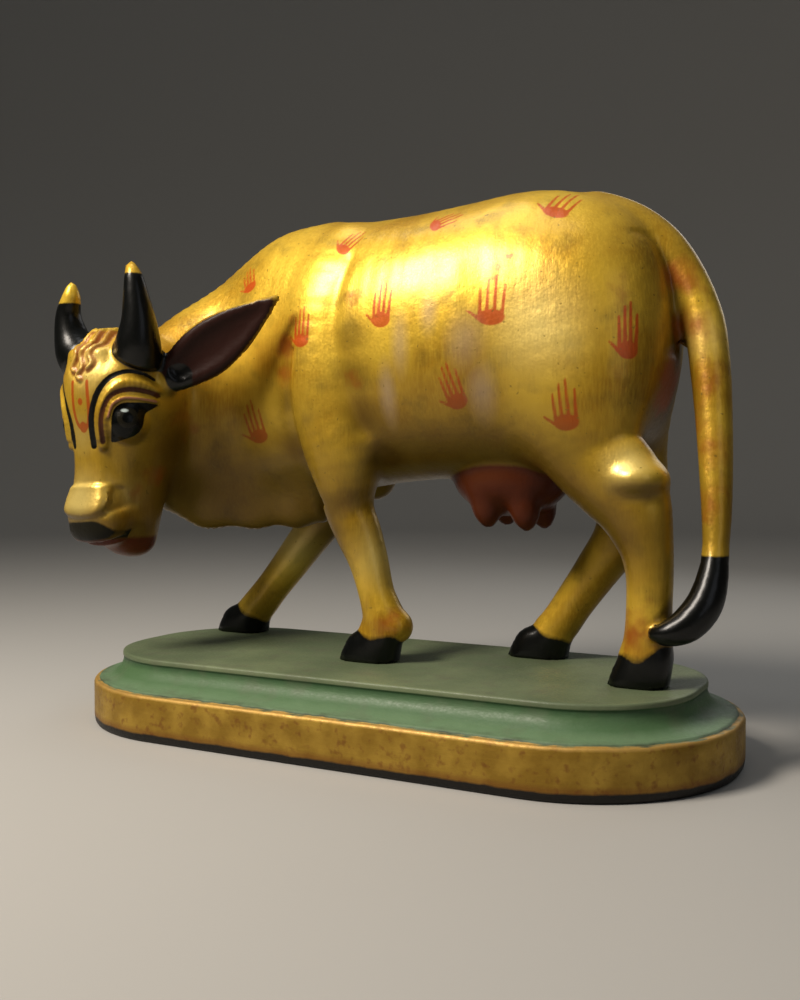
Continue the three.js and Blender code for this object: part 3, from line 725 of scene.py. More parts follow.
handSettings = {
    "near": [
        (-70, 203, 15, 30, 1.1), (-32.4, 178.5, 18, 0, 1), (-63.4, 137, 20, 10, 1.15),
        (-14.2, 214.6, 15, -35, 1.2), (7.2, 184, 20, -3, 1), (31.5, 219.5, 15, -62, 1.2),
        (57.4, 182, 20, -4, 1.35), (39, 150.2, 20, 16, 1), (80.5, 222, 19, -30, 1.35),
        (108.8, 168.2, 22, -3, 0.85), (86.3, 141.4, 20, 3, 1.15),
    ],
    "far": [
        (-66, 190, 17, 5, 0.9), (-28, 176, 18, -6, 1), (8, 188, 20, 8, 0.9),
        (36, 150, 19, -10, 0.9), (62, 184, 20, 0, 1), (96, 160, 20, 8, 0.9),
    ],
    "offMiddle": 6,  # mm from the cow's middle plane to where a flank starts
    "seat": 4,  # mm round a print's middle that tell which way it faces
    "reach": 20,  # mm from its middle, and how deep in, that a print can mark
    "depth": 9,
}

# The hand in shares of the print's height: middle and half size of the palm, foot and tip of each finger
# with the thumb last, and half a finger's width at the foot with what it loses towards the tip
hand = {
    "palm": (0.02, -0.33, 0.22, 0.16),
    "fingers": [
        ((-0.16, -0.3), (-0.19, 0.24)),
        ((-0.05, -0.3), (-0.07, 0.42)),
        ((0.07, -0.3), (0.05, 0.5)),
        ((0.19, -0.3), (0.2, 0.3)),
        ((-0.1, -0.42), (-0.37, -0.2)),
    ],
    "fingerFoot": 0.042,
    "fingerLoss": 0.018,
}


def handDistance(u, v, size, width):
    u, v = u / size / width, v / size
    x, y, wide, tall = hand["palm"]
    best = (np.hypot((u - x) / wide, (v - y) / tall) - 1) * tall
    for (ax, ay), (bx, by) in hand["fingers"]:
        dx, dy = bx - ax, by - ay
        t = np.clip(((u - ax) * dx + (v - ay) * dy) / (dx * dx + dy * dy), 0, 1)
        away = np.hypot((u - ax - t * dx) * width, v - ay - t * dy)
        best = np.minimum(best, away - (hand["fingerFoot"] - hand["fingerLoss"] * t))
    return best * size


def handFrames(points, normals):
    frames = []
    for side, key in ((-1, "near"), (1, "far")):
        flank = np.where((points[:, 1] - cow["middle"]) * side > handSettings["offMiddle"])[0]
        for x, z, size, tilt, width in handSettings[key]:
            away = np.hypot(points[flank, 0] - x, points[flank, 2] - z)
            inside = flank[away < handSettings["seat"]]
            nearest = flank[np.argmin(away)]
            facing = unit(normals[inside].mean(0))
            right = unit(np.cross(upright, facing))
            over = np.cross(facing, right)
            turn = math.radians(tilt)
            frames.append((points[nearest], facing, right * math.cos(turn) + over * math.sin(turn),
                           over * math.cos(turn) - right * math.sin(turn), size, width))
    return frames


def handField(points, frames):
    reach, depth = handSettings["reach"], handSettings["depth"]
    best = np.full(len(points), farAway)
    for middle, facing, right, over, size, width in frames:
        e = points - middle
        near = (np.linalg.norm(e, axis=1) < reach) & (np.abs(e @ facing) < depth)
        best[near] = np.minimum(best[near], handDistance(e[near] @ right, e[near] @ over, size, width))
    return best


# The cow's mesh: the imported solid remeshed, refined where the detail is fine, then carved by the field

carving = {"furthest": 2.5, "share": 0.9}  # mm that one round can move a point, and how much of the way

# Where the mesh is refined: on the face, round the eyes, and this near to a print or a groove, in mm
fineZones = {
    "face": {"forward": 2, "side": 30, "low": -62, "high": 44},
    "eye": {"forward": 4, "inner": 9, "outer": 28, "back": 1, "up": 2, "radius": 16},
    "print": 1.2,
    "groove": 3,
}


def vectorsOf(source, name):
    values = np.empty(len(source) * 3, np.float32)
    source.foreach_get(name, values)
    return values.reshape(-1, 3).astype(float)


def verticesOf(mesh):
    return vectorsOf(mesh.vertices, "co") / mm


def carve(mesh, rounds):
    for _ in range(rounds):
        points, normals = verticesOf(mesh), vectorsOf(mesh.vertex_normals, "vector")
        step = np.clip(wood(points), -carving["furthest"], carving["furthest"]) * carving["share"]
        points -= normals * step[:, None]
        points[:, 2] = np.maximum(points[:, 2], cow["soles"])
        mesh.vertices.foreach_set("co", (points * mm).astype(np.float32).ravel())
        mesh.update()


def refine(mesh, chosen):
    work = bmesh.new()
    work.from_mesh(mesh)
    work.verts.ensure_lookup_table()
    wanted = [face for face in work.faces if all(chosen[v.index] for v in face.verts)]
    edges = list({edge for face in wanted for edge in face.edges})
    bmesh.ops.subdivide_edges(work, edges=edges, cuts=1, use_grid_fill=True)
    bmesh.ops.triangulate(work, faces=[face for face in work.faces if len(face.verts) > 4])
    work.to_mesh(mesh)
    work.free()
    mesh.update()


def looseParts(work):
    unseen = set(work.verts)
    while unseen:
        part, front = [], [unseen.pop()]
        while front:
            part.append(front.pop())
            reached = {edge.other_vert(part[-1]) for edge in part[-1].link_edges} & unseen
            unseen -= reached
            front.extend(reached)
        yield part


def dropCrumbs(mesh):  # in a tight corner the remesh can leave a tiny loose piece
    work = bmesh.new()
    work.from_mesh(mesh)
    for part in sorted(looseParts(work), key=len)[:-1]:
        bmesh.ops.delete(work, geom=part, context="VERTS")
    work.to_mesh(mesh)
    work.free()
    mesh.update()


def carvedCow():
    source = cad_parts["cow"]
    rough = bpy.data.objects.new("cowCarving", source.data.copy())
    bpy.context.scene.collection.objects.link(rough)
    rough.data.materials.clear()
    remesh = rough.modifiers.new("remesh", "REMESH")
    remesh.mode = "VOXEL"
    remesh.voxel_size = cow["voxel"] * mm
    graph = bpy.context.evaluated_depsgraph_get()
    mesh = bpy.data.meshes.new_from_object(rough.evaluated_get(graph))
    rough.modifiers.clear()
    rough.data = mesh
    dropCrumbs(mesh)
    print("remeshed:", len(mesh.vertices), "points")
    carve(mesh, rounds=2)
    points = verticesOf(mesh)
    frames = handFrames(points, vectorsOf(mesh.vertex_normals, "vector"))
    zone = fineZones["face"]
    left, forward, up, *_ = headPlaces(points)
    onFace = (forward > zone["forward"]) & (np.abs(left) < zone["side"])
    onFace &= (up > zone["low"]) & (up < zone["high"])
    x, y, z = points.T
    grooves = np.minimum(lineDistance(x, z, strapEdge), lineDistance(x, z, tailRoot))
    inGroove = (grooves < fineZones["groove"]) & (y < 0)
    refine(mesh, onFace | (handField(points, frames) < fineZones["print"]) | inGroove)
    carve(mesh, rounds=1)
    zone = fineZones["eye"]
    left, forward, up, back, _ = headPlaces(verticesOf(mesh))
    nearEye = (forward > zone["forward"]) & (np.hypot(back - zone["back"], up - zone["up"]) < zone["radius"])
    refine(mesh, nearEye & (np.abs(left) < zone["outer"]) & (np.abs(left) > zone["inner"]))
    carve(mesh, rounds=2)
    mesh.shade_smooth()
    triangles = sum(len(face.vertices) - 2 for face in mesh.polygons)
    print("carved:", len(mesh.vertices), "points,", triangles, "triangles")
    return rough, frames


cowObject, handPlaces = carvedCow()

# Where each paint lies, as distances in millimetres that are below zero inside it

enamelLimit = 2  # mm from its own part, so that what is next to the part stays gold
headPaint = {
    "nearTip": 1.5, "farTip": 10.5,  # bare gold, measured down from the near horn's last station
    "earFoot": [32, -5, 18], "earFootRadius": 6.5,  # black at the foot of the near ear
    "noseFrom": 8, "lipsFrom": -9, "markFrom": 12,  # how far forward in the head each starts
    "lipsTop": -52.8, "lipsSide": 18,
    # Half widths of painted lines
    "markWidth": 0.92, "underBrowWidth": 1.1, "lidWidth": 0.5,
    "browWidth": 1, "browTaper": 0.025, "browLeast": 0.65, "browMost": 1.3,
    "lockInner": 0.5, "lockOuter": 2.1, "lockLow": 16, "lockHigh": 39,  # brown beside the strands
}
bodyPaint = {
    "hoofRim": 0.2, "udderRim": 0.8,  # how far the enamel reaches over the gold wood beside it
    "tuftTop": 84,
    "creaseDepth": 4, "creaseFrom": 0.82, "creaseRun": 0.55,  # painted shade in creases: how much wood closes in on a point
    "shadeLevel": 0.42, "shadeTurn": 0.65, "shadeHeight": 150, "shadeRun": 220,  # painted shade: darker the lower it faces
    "shinHeight": 50, "shinRun": 40, "shinLeast": 0.4,  # but less painted shade down the legs
    "spotMost": 1.2,
}

# Soft places of the paint, each with its size in mm and its strength
paintSpots = {
    # The reddish undercoat shows: ear roots, cheek, shoulder, muzzle, fetlocks, along the tail, on the rump
    # behind it, and at the worn place above a print
    "undercoat": [
        (inHead([30, -4, 24]), 7, 1.0), (inHead([33, -9, 37]), 8, 1.0), (inHead([45, -13, 44]), 8, 0.9),
        (inHead([-30, -4, 24]), 7, 1.0), (inHead([20, -16, -2]), 14, 0.55), (inHead([17, 6, -33]), 8, 0.55),
        (inHead([18, -4, -26]), 11, 0.6),
        ([-42, -22, 170], 8, 0.9), ([-43, -22, 158], 7, 0.8), ([-37, -22, 182], 7, 0.6),
        ([-8, -24, 153], 9, 0.45), ([-6, -24, 189], 7, 0.65), ([20, -26, 196], 8, 0.35),
        ([112, -17, 54], 14, 0.72), ([3, -12, 50], 9, 0.8), ([-97, 36, 50], 8, 0.6), ([63, 36, 51], 9, 0.8),
        ([127, 7, 192], 13, 0.6), ([130, 2, 172], 15, 0.6), ([132, 0, 150], 15, 0.6),
        ([134, -3, 126], 16, 0.6), ([136, -6, 104], 16, 0.6), ([121, 7, 192], 8, 0.9),
        ([120, 10, 172], 8, 0.8), ([104, -14, 186], 12, 0.5), ([110, -8, 128], 9, 0.5),
        ([116, 8, 150], 15, 1.0),
        ([63, -22, 200], 3.2, 0.9), ([59, -23, 196], 3.2, 0.9), ([57, -24, 192], 2.8, 0.8),
    ],
    # Painted light, paler gold where the light falls brightest:
    # nose, forehead, middle of the flank, heel and shin
    "litSpots": [
        (inHead([0, 24, -37]), 13, 1.1), (inHead([8, 24, 22]), 12, 0.8), (inHead([0, 24, -8]), 9, 0.5),
        (inHead([15, 8, -34]), 8, 0.6), ([76, -26, 172], 20, 0.8), ([110, -20, 117], 9, 1.0),
        ([4, -15, 80], 14, 0.8), ([-70, 26, 80], 16, 0.9), ([132, 4, 168], 10, 0.5),
    ],
    # Painted shade, darker spots where shade falls: neck behind the cheek, before and behind the shoulder,
    # thigh, shanks and beside the tail
    "shadedSpots": [
        ([-97, -31, 128], 14, 0.9), ([-100, -24, 108], 14, 0.9), ([-84, -18, 126], 13, 0.5),
        ([-43.5, -20, 146], 7, 0.8), ([-43, -14, 128], 8, 0.8),
        ([-7, -25, 172], 9, 0.8), ([-7, -24, 156], 10, 0.8), ([-4, -20, 139], 11, 0.9),
        ([3, -13, 120], 8, 1.6),
        ([84, -20, 121], 15, 0.6), ([115, -23, 80], 15, 0.5), ([86, 34, 78], 17, 0.6),
        ([120, 9, 200], 8, 0.6), ([121, 13, 172], 8, 0.9), ([114, 15, 146], 20, 1.0),
        ([112, 5, 165], 10, 0.5),
    ],
}
# Grey rubbed patches of the flank: x and z of the middle, half width and half height
greyPatches = [(17, 168, 4, 13), (46, 168, 8, 12), (52, 148, 6, 12), (10, 148, 4, 13), (30, 180, 4, 9)]


def keep(mesh, name, values):
    attribute = mesh.attributes.new(name, "FLOAT", "POINT")
    attribute.data.foreach_set("value", values.astype(np.float32))


def nearest(parts, p):
    return np.minimum.reduce([part(p) for part in parts])


def paintHead(mesh, p):
    c = headPaint
    left, forward, up, back, onFace = headPlaces(p)
    headSolid = np.full(len(p), farAway)
    nearHead = p[:, 0] < head["paintedTo"]
    headSolid[nearHead] = headWood(p[nearHead])
    lowestGold = hornFoot + cow["hornRise"] - np.where(left > 0, c["nearTip"], c["farTip"])
    horn = nearest(horns, p)
    hornEdge = np.maximum.reduce([horn - headSolid, horn - enamelLimit, up - lowestGold])
    earFoot = np.linalg.norm(p - inHead(c["earFoot"]), axis=1) - c["earFootRadius"]
    keep(mesh, "hornBlack", np.minimum(hornEdge, earFoot))
    keep(mesh, "noseBlack", np.where(forward > c["noseFrom"], outlineDistance(left, up, nosePatch), farAway))
    lips = np.maximum(up - c["lipsTop"], np.abs(left) - c["lipsSide"])
    keep(mesh, "lipRed", np.where((forward > c["lipsFrom"]) & nearHead, lips, farAway))
    keep(mesh, "earMaroon", nearest(earInsides, p))

    browWidth = np.clip(c["browWidth"] - back * c["browTaper"], c["browLeast"], c["browMost"])
    x, z = glint["middle"]
    drawn = {
        "eyeBlack": outlineDistance(back, up, eyeOutline),
        "browBlack": lineDistance(back, up, faceLines["brow"]) - browWidth,
        "eyeGlint": (np.hypot((back - x) / glint["wide"], (up - z) / glint["tall"]) - 1) * glint["tall"],
        "underBrowMaroon": lineDistance(back, up, faceLines["underBrow"]) - c["underBrowWidth"],
        "lidPink": lineDistance(back, up, faceLines["lid"]) - c["lidWidth"],
    }
    for name, values in drawn.items():
        keep(mesh, name, np.where(onFace, values, farAway))
    keep(mesh, "irisRadius", np.hypot(back - iris["middle"][0], up - iris["middle"][1]))

    aside = left - foreheadMark["middle"]
    mark = lineDistance(np.abs(aside), up, foreheadMark["arm"]) - c["markWidth"]
    for place, radius in foreheadMark["spots"]:
        mark = np.minimum(mark, np.hypot(aside, up - place) - radius)
    mark = np.where((forward > c["markFrom"]) & onFace, mark, farAway)
    keep(mesh, "printRed", np.minimum(mark, handField(p, handPlaces)))

    strand = np.minimum.reduce([lineDistance(left, up, lock) for lock in locks])
    beside = np.maximum.reduce([strand - c["lockOuter"], c["lockInner"] - strand,
                                c["lockLow"] - up, up - c["lockHigh"]])
    keep(mesh, "lockBrown", np.where(forward > 0, beside, farAway))


def paintBody(mesh, p):
    c = bodyPaint
    x, _, z = p.T
    bodySolid = np.minimum(trunk(p), nearest(legs, p))
    hoof = nearest(hooves, p)
    hoofEdge = np.maximum(hoof - bodySolid - c["hoofRim"], hoof - enamelLimit)
    hindLeg = legs[2]  # the one that the tuft lies against
    tuftEdge = np.maximum.reduce([tuft(p) - enamelLimit, tuft(p) - hindLeg(p), z - c["tuftTop"]])
    keep(mesh, "hoofBlack", np.minimum(hoofEdge, tuftEdge))
    udder = nearest([bag, *teats], p)
    keep(mesh, "udderMaroon", np.maximum(udder - trunk(p) - c["udderRim"], udder - enamelLimit))

    normals = vectorsOf(mesh.vertex_normals, "vector")
    # Painted shade in creases and between parts, where the wood closes in round a point
    openness = wood(p + normals * c["creaseDepth"]) / c["creaseDepth"]
    keep(mesh, "creaseShade", np.clip((c["creaseFrom"] - openness) / c["creaseRun"], 0, 1))
    # Painted shade: darker where the surface faces down and the lower it lies
    shade = c["shadeLevel"] - c["shadeTurn"] * normals[:, 2] - (z - c["shadeHeight"]) / c["shadeRun"]
    lit = np.clip((z - c["shinHeight"]) / c["shinRun"], c["shinLeast"], 1)
    keep(mesh, "undersideShade", np.clip(shade, 0, 1) * lit)
    for name, places in paintSpots.items():
        show = [amount * bump(np.linalg.norm(p - middle, axis=1), size) for middle, size, amount in places]
        keep(mesh, name, np.minimum(np.maximum.reduce(show), c["spotMost"]))
    patches = [np.exp(-((x - px) / wide) ** 2 - ((z - pz) / tall) ** 2) for px, pz, wide, tall in greyPatches]
    keep(mesh, "greyPatch", np.maximum.reduce(patches))


paintHead(cowObject.data, verticesOf(cowObject.data))
paintBody(cowObject.data, verticesOf(cowObject.data))
print("paint laid out")

# Materials

paints = {
    "goldLight": "#e2bb3c",
    "goldDeep": "#ae821b",
    # the paler gold of the painted light
    "goldLit": "#f7de84",
    "olive": "#6a581c",
    "shade": "#4c3507",
    "undercoat": "#8e450f",
    "greyWorn": "#a5907a",
    "black": "#050605",
    "nose": "#070904",
    "print": "#b03208",
    "lock": "#7a3312",
    "maroon": "#240b04",
    "udder": "#451706",
    "lip": "#471408",
    "brow": "#3c140c",
    "pink": "#a8705a",
    "iris": "#191710",
    "glint": "#c9d8d6",
}

# Noise patterns: size in mm, detail and how far each is drawn out along x, y and z
cowNoises = {
    "broad": (34, 3, (1, 1, 1)),
    "middle": (10, 3, (1, 1, 1)),
    "grain": (1.1, 3, (1, 1, 1)),
    "strokes": (1.0, 2, (0.9, 0.9, 7)),
    "edge": (1.6, 2, (1, 1, 1)),
    "lumps": (4.5, 2, (1, 1, 1)),
    "specks": (1.9, 1, (1, 1, 1)),
}

# Washes over the gold: what steers each, from and to where it rises, its cover, colour and the loss of metal
cowWashes = [
    ("middle", 0.5, 0.78, 0.6, "olive", 0.3),
    ("strokes", 0.4, 0.75, 0.35, "goldLight", 0),
    # painted light where it falls brightest
    ("litSpots", 0.1, 1.0, 0.85, "goldLit", 0),
    ("printRed", 0.3, -0.3, 0.85, "print", 0.65),
    # painted shade on the downward faces of the body
    ("undersideShade", 0.25, 0.85, 0.85, "shade", 0.15),
    # painted shade in spots where shade falls
    ("shadedSpots", 0.1, 1.0, 0.8, "shade", 0.2),
    ("greyPatch", 0.15, 1.0, 0.5, "greyWorn", 0.5),
    # painted shade in creases and between parts
    ("creaseShade", 0.1, 1.0, 0.8, "shade", 0.7),
    ("rubbed", 0.4, 0.85, 0.85, "undercoat", 0.6),
    ("specks", 0.72, 0.78, 0.6, "olive", 0.3),
]

# Enamel on top: its field, softness in mm, colour, roughness, cover and how much varnish lies over it
cowEnamels = [
    ("lockBrown", 0.5, "lock", 0.5, 0.75, 0.2),
    ("udderMaroon", 0.8, "udder", 0.42, 0.97, 0.1),
    ("earMaroon", 0.5, "maroon", 0.6, 1.0, 0.1),
    ("lipRed", 0.9, "lip", 0.38, 0.93, 0.1),
    ("underBrowMaroon", 0.3, "brow", 0.45, 0.95, 0.2),
    ("lidPink", 0.3, "pink", 0.4, 0.9, 0.2),
    ("browBlack", 0.2, "black", 0.35, 1.0, 0.2),
    ("noseBlack", 0.5, "nose", 0.36, 0.98, 0.03),
    ("hornBlack", 0.4, "black", 0.33, 1.0, 0.38),
    ("hoofBlack", 0.4, "black", 0.3, 1.0, 0.38),
    ("eyeBlack", 0.2, "black", 0.24, 1.0, 0.12),
]

goldFinish = {
    "broadFrom": 0.35, "broadTo": 0.65,  # where the deep gold gives way to the light one
    "patchFrom": 0.3, "patchTo": 0.8, "metalThick": 0.48, "metalThin": 0.3,  # bronze powder in the paint
    "grainFrom": 0.3, "grainTo": 0.75, "smooth": 0.3, "coarse": 0.48,  # roughness
    "shadedFrom": 0.1, "shadedTo": 0.9, "varnishFull": 0.38, "varnishShaded": 0.14,  # less varnish where the spots of painted shade lie
    "specular": 0.12,
    "varnishRoughness": 0.25,
    "wobble": 0.18,  # mm that the edges of paint wander
    "irisEdge": 0.3, "pupilEdge": 0.5, "eyeRim": 0.6,  # softness round the iris, and black left round it
    "glintInner": -0.3, "glintOuter": 0.2, "glintCover": 0.7,
    "lumps": 1.4, "relief": (("strokes", 0.5), ("grain", 0.4), ("specks", -0.3)),
    "bump": 0.42, "bumpHeight": 0.3,  # strength, and mm
}


def noisesOf(tree, place, settings):
    made = {}
    for name, (size, detail, drawn) in settings.items():
        scale = [1 / (size * share * mm) for share in drawn]
        scaled = add(tree, "Mapping", {"Vector": place, "Scale": scale})
        made[name] = add(tree, "TexNoise", {"Vector": scaled, "Scale": 1, "Detail": detail})
    return made


def paintedCow():
    # Wood under gold bronze paint and a thin varnish: a warm metallic sheen, broken by brush strokes,
    # rubbed places that show the reddish undercoat, and satin black, red and maroon enamel on top
    material, tree = newMaterial("gold bronze paint on carved wood")
    node = partial(add, tree)
    sources = noisesOf(tree, node("TexCoord", {}, "Object"), cowNoises)
    for name in ("creaseShade", "undersideShade", "greyPatch", *paintSpots):
        sources[name] = node("Attribute", {}, "Fac", attribute_name=name)
    centred = node("Math", {0: sources["middle"], 1: 0.5}, operation="SUBTRACT")
    sources["rubbed"] = node("Math", {0: sources["undercoat"], 1: centred}, operation="ADD")

    f = goldFinish
    broad = node("MapRange", {0: sources["broad"], 1: f["broadFrom"], 2: f["broadTo"]})
    colour = node("Mix", {0: broad, 6: linear(paints["goldDeep"]), 7: linear(paints["goldLight"])}, 2,
                  data_type="RGBA")
    metal = node("MapRange", {0: sources["middle"], 1: f["patchFrom"], 2: f["patchTo"],
                              3: f["metalThick"], 4: f["metalThin"]})
    wobble = node("MapRange", {0: sources["edge"], 3: -f["wobble"], 4: f["wobble"]})
    prints = node("Attribute", {}, "Fac", attribute_name="printRed")
    sources["printRed"] = node("Math", {0: prints, 1: wobble}, operation="ADD")
    for source, low, high, cover, paint, loss in cowWashes:
        mask = node("MapRange", {0: sources[source], 1: low, 2: high, 4: cover})
        colour = node("Mix", {0: mask, 6: colour, 7: linear(paints[paint])}, 2, data_type="RGBA")
        kept = node("MapRange", {0: mask, 3: 1, 4: 1 - loss})
        metal = node("Math", {0: metal, 1: kept}, operation="MULTIPLY")

    rough = node("MapRange", {0: sources["grain"], 1: f["grainFrom"], 2: f["grainTo"],
                              3: f["smooth"], 4: f["coarse"]})
    # the varnish thins in the spots of painted shade
    varnish = node("MapRange", {0: sources["shadedSpots"], 1: f["shadedFrom"], 2: f["shadedTo"],
                                3: f["varnishFull"], 4: f["varnishShaded"]})
    for field, soft, paint, gloss, cover, shine in cowEnamels:
        distance = node("Attribute", {}, "Fac", attribute_name=field)
        edge = node("Math", {0: distance, 1: wobble}, operation="ADD")
        mask = node("MapRange", {0: edge, 1: -soft, 2: soft, 3: cover, 4: 0})
        colour = node("Mix", {0: mask, 6: colour, 7: linear(paints[paint])}, 2, data_type="RGBA")
        metal = node("Mix", {0: mask, 2: metal, 3: 0.0})
        rough = node("Mix", {0: mask, 2: rough, 3: gloss})
        varnish = node("Mix", {0: mask, 2: varnish, 3: shine})

    radius = node("Attribute", {}, "Fac", attribute_name="irisRadius")
    inside = node("Attribute", {}, "Fac", attribute_name="eyeBlack")
    inside = node("MapRange", {0: inside, 1: -f["eyeRim"], 2: 0, 3: 1, 4: 0})
    outer = node("MapRange", {0: radius, 1: iris["radius"] - f["irisEdge"], 2: iris["radius"], 3: 1, 4: 0})
    inner = node("MapRange", {0: radius, 1: iris["pupil"], 2: iris["pupil"] + f["pupilEdge"]})
    ring = node("Math", {0: inner, 1: outer}, operation="MULTIPLY")
    ring = node("Math", {0: ring, 1: inside}, operation="MULTIPLY")
    # The painted highlight on the eye
    light = node("Attribute", {}, "Fac", attribute_name="eyeGlint")
    light = node("MapRange", {0: light, 1: f["glintInner"], 2: f["glintOuter"], 3: f["glintCover"], 4: 0})
    for mask, paint in ((ring, "iris"), (light, "glint")):
        colour = node("Mix", {0: mask, 6: colour, 7: linear(paints[paint])}, 2, data_type="RGBA")

    height = node("MapRange", {0: sources["lumps"], 4: f["lumps"]})
    for source, amount in f["relief"]:
        height = node("Math", {0: sources[source], 1: amount, 2: height}, operation="MULTIPLY_ADD")
    relief = node("Bump", {"Strength": f["bump"], "Distance": f["bumpHeight"] * mm, "Height": height})
    shader = node("BsdfPrincipled", {
        "Base Color": colour, "Metallic": metal, "Roughness": rough, "Normal": relief, "IOR": 1.5,
        "Specular IOR Level": f["specular"], "Coat Weight": varnish, "Coat Roughness": f["varnishRoughness"],
    })
    node("OutputMaterial", {"Surface": shader})
    return material


cowObject.data.materials.append(paintedCow())
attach(cowObject, "root")
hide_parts("cow")
print("cow painted")

# The plinth

plinthBox = [np.array(corner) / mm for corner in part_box("plinth")]
plinth = {
    "length": plinthBox[1][0] - plinthBox[0][0],
    "width": plinthBox[1][1] - plinthBox[0][1],
    "height": plinthBox[1][2],
    "endRadius": 66.6,
    "topRadius": 46.5,
    "topInset": 15.1,
    "bandBottom": 4.5,
    "bandTop": 19.9,
    "lip": 2.6,
    "cornerSteps": 48,
    "straightSteps": 40,
    "coveSteps": 16,
    "wander": 0.00121,  # how far the hand-cut edges wander in, as a share of the way to the middle
    "waves": [(1, 5, 1), (0.6, 11, 2.4), (0.35, 23, 0)],  # height, number round the plinth and start of each
    "waveMiddle": 1.9,  # keeps the waves inside the solid
}


def plinthRing(inset, z):
    share = inset / plinth["topInset"]
    radius = plinth["endRadius"] + (plinth["topRadius"] - plinth["endRadius"]) * share
    reach = (plinth["length"] / 2 - inset - radius, plinth["width"] / 2 - inset - radius)
    ring = []
    for turns, sx, sy in ((0, 1, 1), (1, -1, 1), (2, -1, -1), (3, 1, -1)):
        for i in range(plinth["cornerSteps"]):
            angle = (turns + i / (plinth["cornerSteps"] - 1)) * math.pi / 2
            ring.append((sx * reach[0] + radius * math.cos(angle), sy * reach[1] + radius * math.sin(angle)))
        if turns in (0, 2):
            start, side = ring[-1], 1 if turns == 0 else -1
            for i in range(1, plinth["straightSteps"]):
                t = i / plinth["straightSteps"]
                ring.append((start[0] - side * 2 * reach[0] * t, start[1]))
    return np.array([(x, y, z) for x, y in ring])


def addPlinth():
    h, bottom, top, lip = plinth["height"], plinth["bandBottom"], plinth["bandTop"], plinth["lip"]
    edge = plinth["topInset"]
    # Levels: how far inside the band's face, the height in mm, and how much of the wandering it takes
    levels = [(2.2, 0, 0), (1.3, 0.35, 0), (0.6, 1.2, 0.3), (0.15, bottom - 1.6, 0.6), (0, bottom - 0.8, 0.8)]
    levels += [(0, bottom + (top - 1.6 - bottom) * t, 0.8) for t in (0.02, 0.25, 0.5, 0.75, 1)]
    levels += [(0.3, top - 0.7, 1), (0.9, top - 0.1, 1), (1.5, top, 1), (2.6, top, 1), (3, top + 0.8, 1)]
    steps = plinth["coveSteps"]
    first, last = (4.2, top + 1), (edge + 0.4, h - lip)
    for i in range(steps + 1):
        angle = i / steps * math.pi / 2
        levels.append((first[0] + (last[0] - first[0]) * math.sin(angle),
                       first[1] + (last[1] - first[1]) * (1 - math.cos(angle)), 1))
    levels += [(edge + 0.05, h - lip + 0.3, 1), (edge, h - lip + 0.7, 1), (edge, h - 0.9, 1),
               (edge + 0.25, h - 0.25, 1), (edge + 0.9, h, 1), (edge + 2.5, h, 0.8), (edge + 6, h, 0.3)]
    rings = []
    for inset, z, wave in levels:
        ring = plinthRing(inset, z)
        along = np.arctan2(ring[:, 1] * 2, ring[:, 0])
        drift = sum(size * np.sin(along * count + start) for size, count, start in plinth["waves"])
        ring[:, :2] *= 1 - plinth["wander"] * wave * (drift[:, None] + plinth["waveMiddle"])
        rings.append(ring)
    size = len(rings[0])
    points = np.vstack(rings)
    faces = []
    for r in range(len(rings) - 1):
        for i in range(size):
            a, b = r * size + i, r * size + (i + 1) % size
            faces.append((a, b, b + size, a + size))
    faces.append(tuple(range(size))[::-1])
    faces.append(tuple(range((len(rings) - 1) * size, len(rings) * size)))
    return meshObject("plinth_painted", points * mm, faces)


plinthObject = addPlinth()

plinthPaints = {
    "green": "#59654a", "greenPale": "#6b7657", "greenGrey": "#5a5b4a",
    "cove": "#4a6743", "coveShade": "#2c4a2c", "covePale": "#718a6a",
    "gold": "#8c6c20", "goldPale": "#ab8a34", "goldRed": "#6e3a17", "rimHighlight": "#c9a05a",
    # the foot's near black is a painted shadow
    "seam": "#2b2c1e", "foot": "#120f0b",
}

plinthNoises = {  # as the cow's
    "broad": (42, 3, (1, 1, 1)),
    "middle": (11, 3, (1, 1, 1)),
    "grain": (1.2, 3, (1, 1, 1)),
    "strokes": (1.1, 2, (6, 6, 1)),
    "edge": (8, 3, (1, 1, 1)),
    "lumps": (6, 2, (1, 1, 1)),
    "specks": (3.2, 2, (1, 1, 1)),
}

plinthFinish = {
    "wobble": 0.7,  # mm that the levels of paint wander up and down
    "boardFrom": 2.4, "boardTo": 1.9,  # mm below the top where the green of the board starts
    "seamFrom": 0.4, "seamTo": 1.1,  # mm above the band that the dark line fades over
    "seamLeast": 0.35, "seamMost": 0.8,  # its cover, since it is broken
    "metal": 0.4,  # bronze powder on the band
    "smooth": 0.42, "coarse": 0.6,  # roughness
    "specular": 0.3, "wax": 0.05, "waxRoughness": 0.3,
    "lumps": 1.2, "relief": (("strokes", 0.5), ("grain", 0.4), ("specks", 0.3)),
    "bump": 0.5, "bumpHeight": 0.3,  # strength, and mm
}


